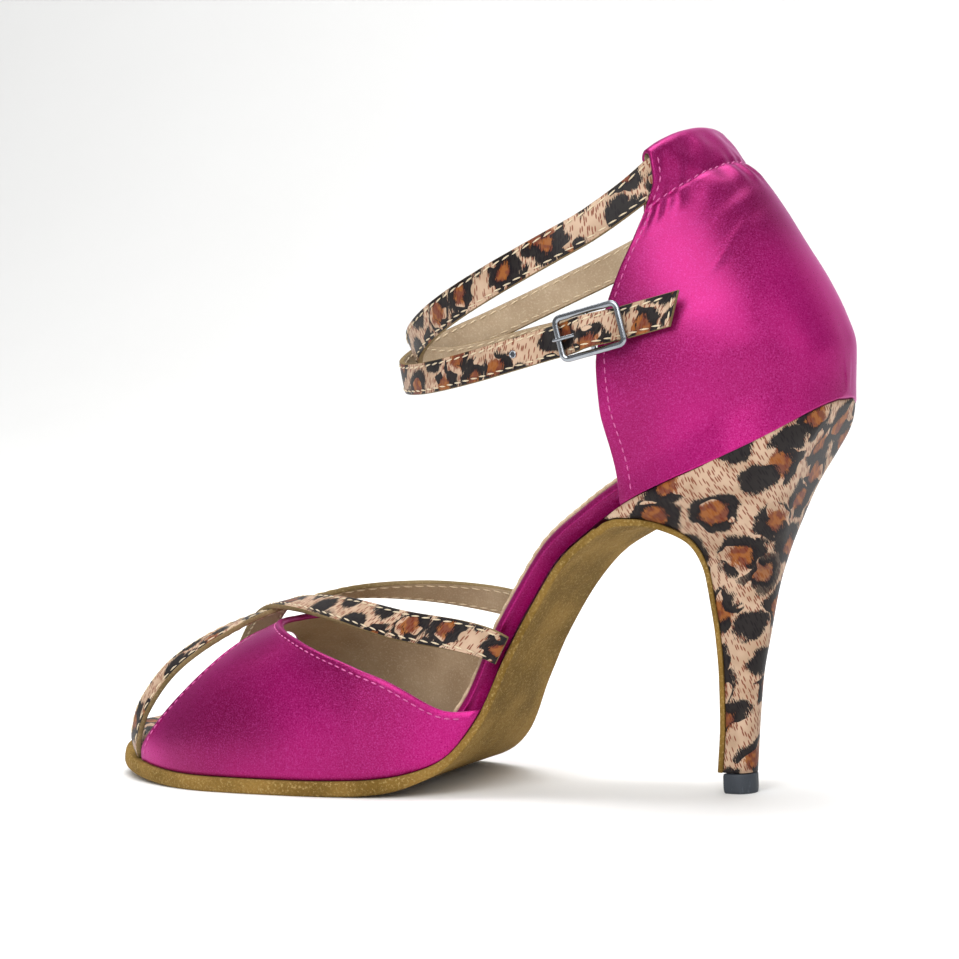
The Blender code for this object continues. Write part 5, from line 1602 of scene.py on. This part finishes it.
    def metal(self) -> None:
        """The frame as a flat-sided wire round a rounded rectangle, its bar and the prong."""
        half = np.array((self.length - self.wire, self.width - self.wire)) / 2
        path = []
        for quarter, signs in enumerate(((1, 1), (-1, 1), (-1, -1), (1, -1))):
            angle = np.radians(np.linspace(0, 90, 8)) + quarter * math.pi / 2
            arc = self.corner * np.stack([np.cos(angle), np.sin(angle)], -1)
            path.append((half - self.corner) * signs + arc)
        path = np.concatenate(path)
        forward, across, outward = self.axes()
        places = self.middle() + path[:, :1] * forward + path[:, 1:] * across
        profile = circle(1.0, 16)
        profile = np.sign(profile) * np.abs(profile) ** 0.6 * self.wire / 2
        rings = wire_rings(places, np.broadcast_to(outward, places.shape), profile, closed=True)
        piece = Piece("buckle_frame_metal")
        add_tube(piece, rings, closed=True)
        bar = self.middle() + np.linspace(-half[1], half[1], 8)[:, None] * across
        rings = wire_rings(bar, np.broadcast_to(outward, bar.shape), circle(self.bar, 14))
        add_tube(piece, rings)
        made = piece.build([self.wear.metal], Slot.METAL)
        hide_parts("buckle_frame")
        path = smooth_path(self.on_buckle(self.PRONG, self.length, self.prong_lay), 0.25)
        rings = wire_rings(path, np.broadcast_to(across, path.shape), circle(1.0, 12))
        size = self.prong * np.minimum(1, 0.72 + 0.1 * np.arange(len(path))[::-1]) ** 0.5
        rings = path[:, None] + (rings - path[:, None]) * size[:, None, None]
        piece = Piece("buckle_prong_metal")
        add_tube(piece, rings)
        made = piece.build([self.wear.metal], Slot.METAL)
        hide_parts("buckle_prong")

    def build(self) -> None:
        """Makes the strap, the tab and the metal."""
        self.leather()
        self.metal()


@dataclass
class Studio:
    """The pale floor, the soft lights and the camera."""

    azimuth: float = 28.5
    elevation: float = 3.0
    roll: float = 1.8
    distance: float = 0.9
    lens: float = 130.0
    target: Triple = (0.004, 0.0, 0.079)
    front: float = -3.0
    bend: float = 1.6
    radius: float = 1.2
    top: float = 4.0
    half_width: float = 5.0
    surround: float = 0.25
    # Name, place, size, power in watts and aim.
    LIGHTS = (
        ("key_light", (0.3, -1.3, 0.95), 1.3, 23.0, (0.0, 0.0, 0.08)),
        ("fill_light", (1.5, -0.5, 0.6), 0.9, 3.0, (0.0, 0.0, 0.08)),
        ("top_light", (0.1, 0.35, 1.8), 1.4, 18.0, (0.0, 0.0, 0.08)),
        ("backdrop_light", (-0.6, 0.3, 1.9), 1.6, 48.0, (-1.2, 2.7, 0.5)),
    )

    def floor(self) -> None:
        """A pale sweep: flat, then a quarter circle up into the backdrop."""
        turn = np.linspace(0, math.pi / 2, 16)
        reach = self.bend + self.radius
        back = np.concatenate([[self.front, self.bend], self.bend + self.radius * np.sin(turn[1:]), [reach]])
        up = np.concatenate([[0, 0], self.radius * (1 - np.cos(turn[1:])), [self.top]])
        side = np.array([-self.half_width, self.half_width])
        points = np.stack(np.broadcast_arrays(side[None, :], back[:, None], up[:, None]), -1).reshape(-1, 3)
        index = np.arange(len(points)).reshape(-1, 2)
        faces = np.stack([index[:-1, 0], index[:-1, 1], index[1:, 1], index[1:, 0]], -1)
        mesh = bpy.data.meshes.new("studio_floor")
        mesh.from_pydata(points.tolist(), [], faces.tolist())
        mesh.shade_smooth()
        mesh.materials.append(PlainFinish("studio_paper", "F4F4F3").make())
        made = show("studio_floor", mesh)
        made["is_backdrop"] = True

    def lights(self) -> None:
        """Square soft lights: a key, a fill, one overhead and one for the backdrop; a bright surround."""
        for name, place, size, power, aim in self.LIGHTS:
            data = bpy.data.lights.new(name, "AREA")
            data.size = size
            data.energy = power
            made = show(name, data)
            made.location = place
            made.rotation_mode = "QUATERNION"
            look = unit(np.array(aim) - np.array(place))
            made.rotation_quaternion = Vector(look).to_track_quat("-Z", "Y")
        world = bpy.data.worlds.new("studio_world")
        world.use_nodes = True
        inputs = world.node_tree.nodes["Background"].inputs
        inputs[0].default_value, inputs[1].default_value = (1, 1, 1, 1), self.surround
        bpy.context.scene.world = world

    def camera(self) -> None:
        """The photograph's angle to the shoe, with its slight roll."""
        data = bpy.data.cameras.new("studio_camera")
        data.lens = self.lens
        made = show("studio_camera", data)
        a, e = math.radians(self.azimuth), math.radians(self.elevation)
        back = np.array((math.sin(a) * math.cos(e), -math.cos(a) * math.cos(e), math.sin(e)))
        made.location = np.array(self.target) + back * self.distance
        made.rotation_mode = "QUATERNION"
        look = Vector(-back).to_track_quat("-Z", "Y")
        made.rotation_quaternion = look @ Matrix.Rotation(math.radians(-self.roll), 4, "Z").to_quaternion()
        data.clip_start, data.clip_end = 0.01, 50.0
        bpy.context.scene.camera = made

    def build(self) -> None:
        """Sets up floor, lights and camera, and the plain view."""
        self.floor()
        self.lights()
        self.camera()
        bpy.context.scene.view_settings.view_transform = "Standard"


def corners() -> list[list[float]]:
    """The shown object's lowest and highest corner."""
    return [list(corner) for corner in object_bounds()]


def main() -> None:
    """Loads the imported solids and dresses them, sub-assembly by sub-assembly."""
    logging.basicConfig(level=logging.INFO, format="%(message)s")
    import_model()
    wear = Wardrobe()
    upper = HeelUpper(wear)
    fastening = AnkleFastening(wear, upper)
    for part in (SoleUnit(wear), HeelUnit(wear), ForepartUpper(wear), upper, fastening, Studio()):
        LOG.info("%s", type(part).__name__)
        part.build()


if __name__ == "__main__":
    main()
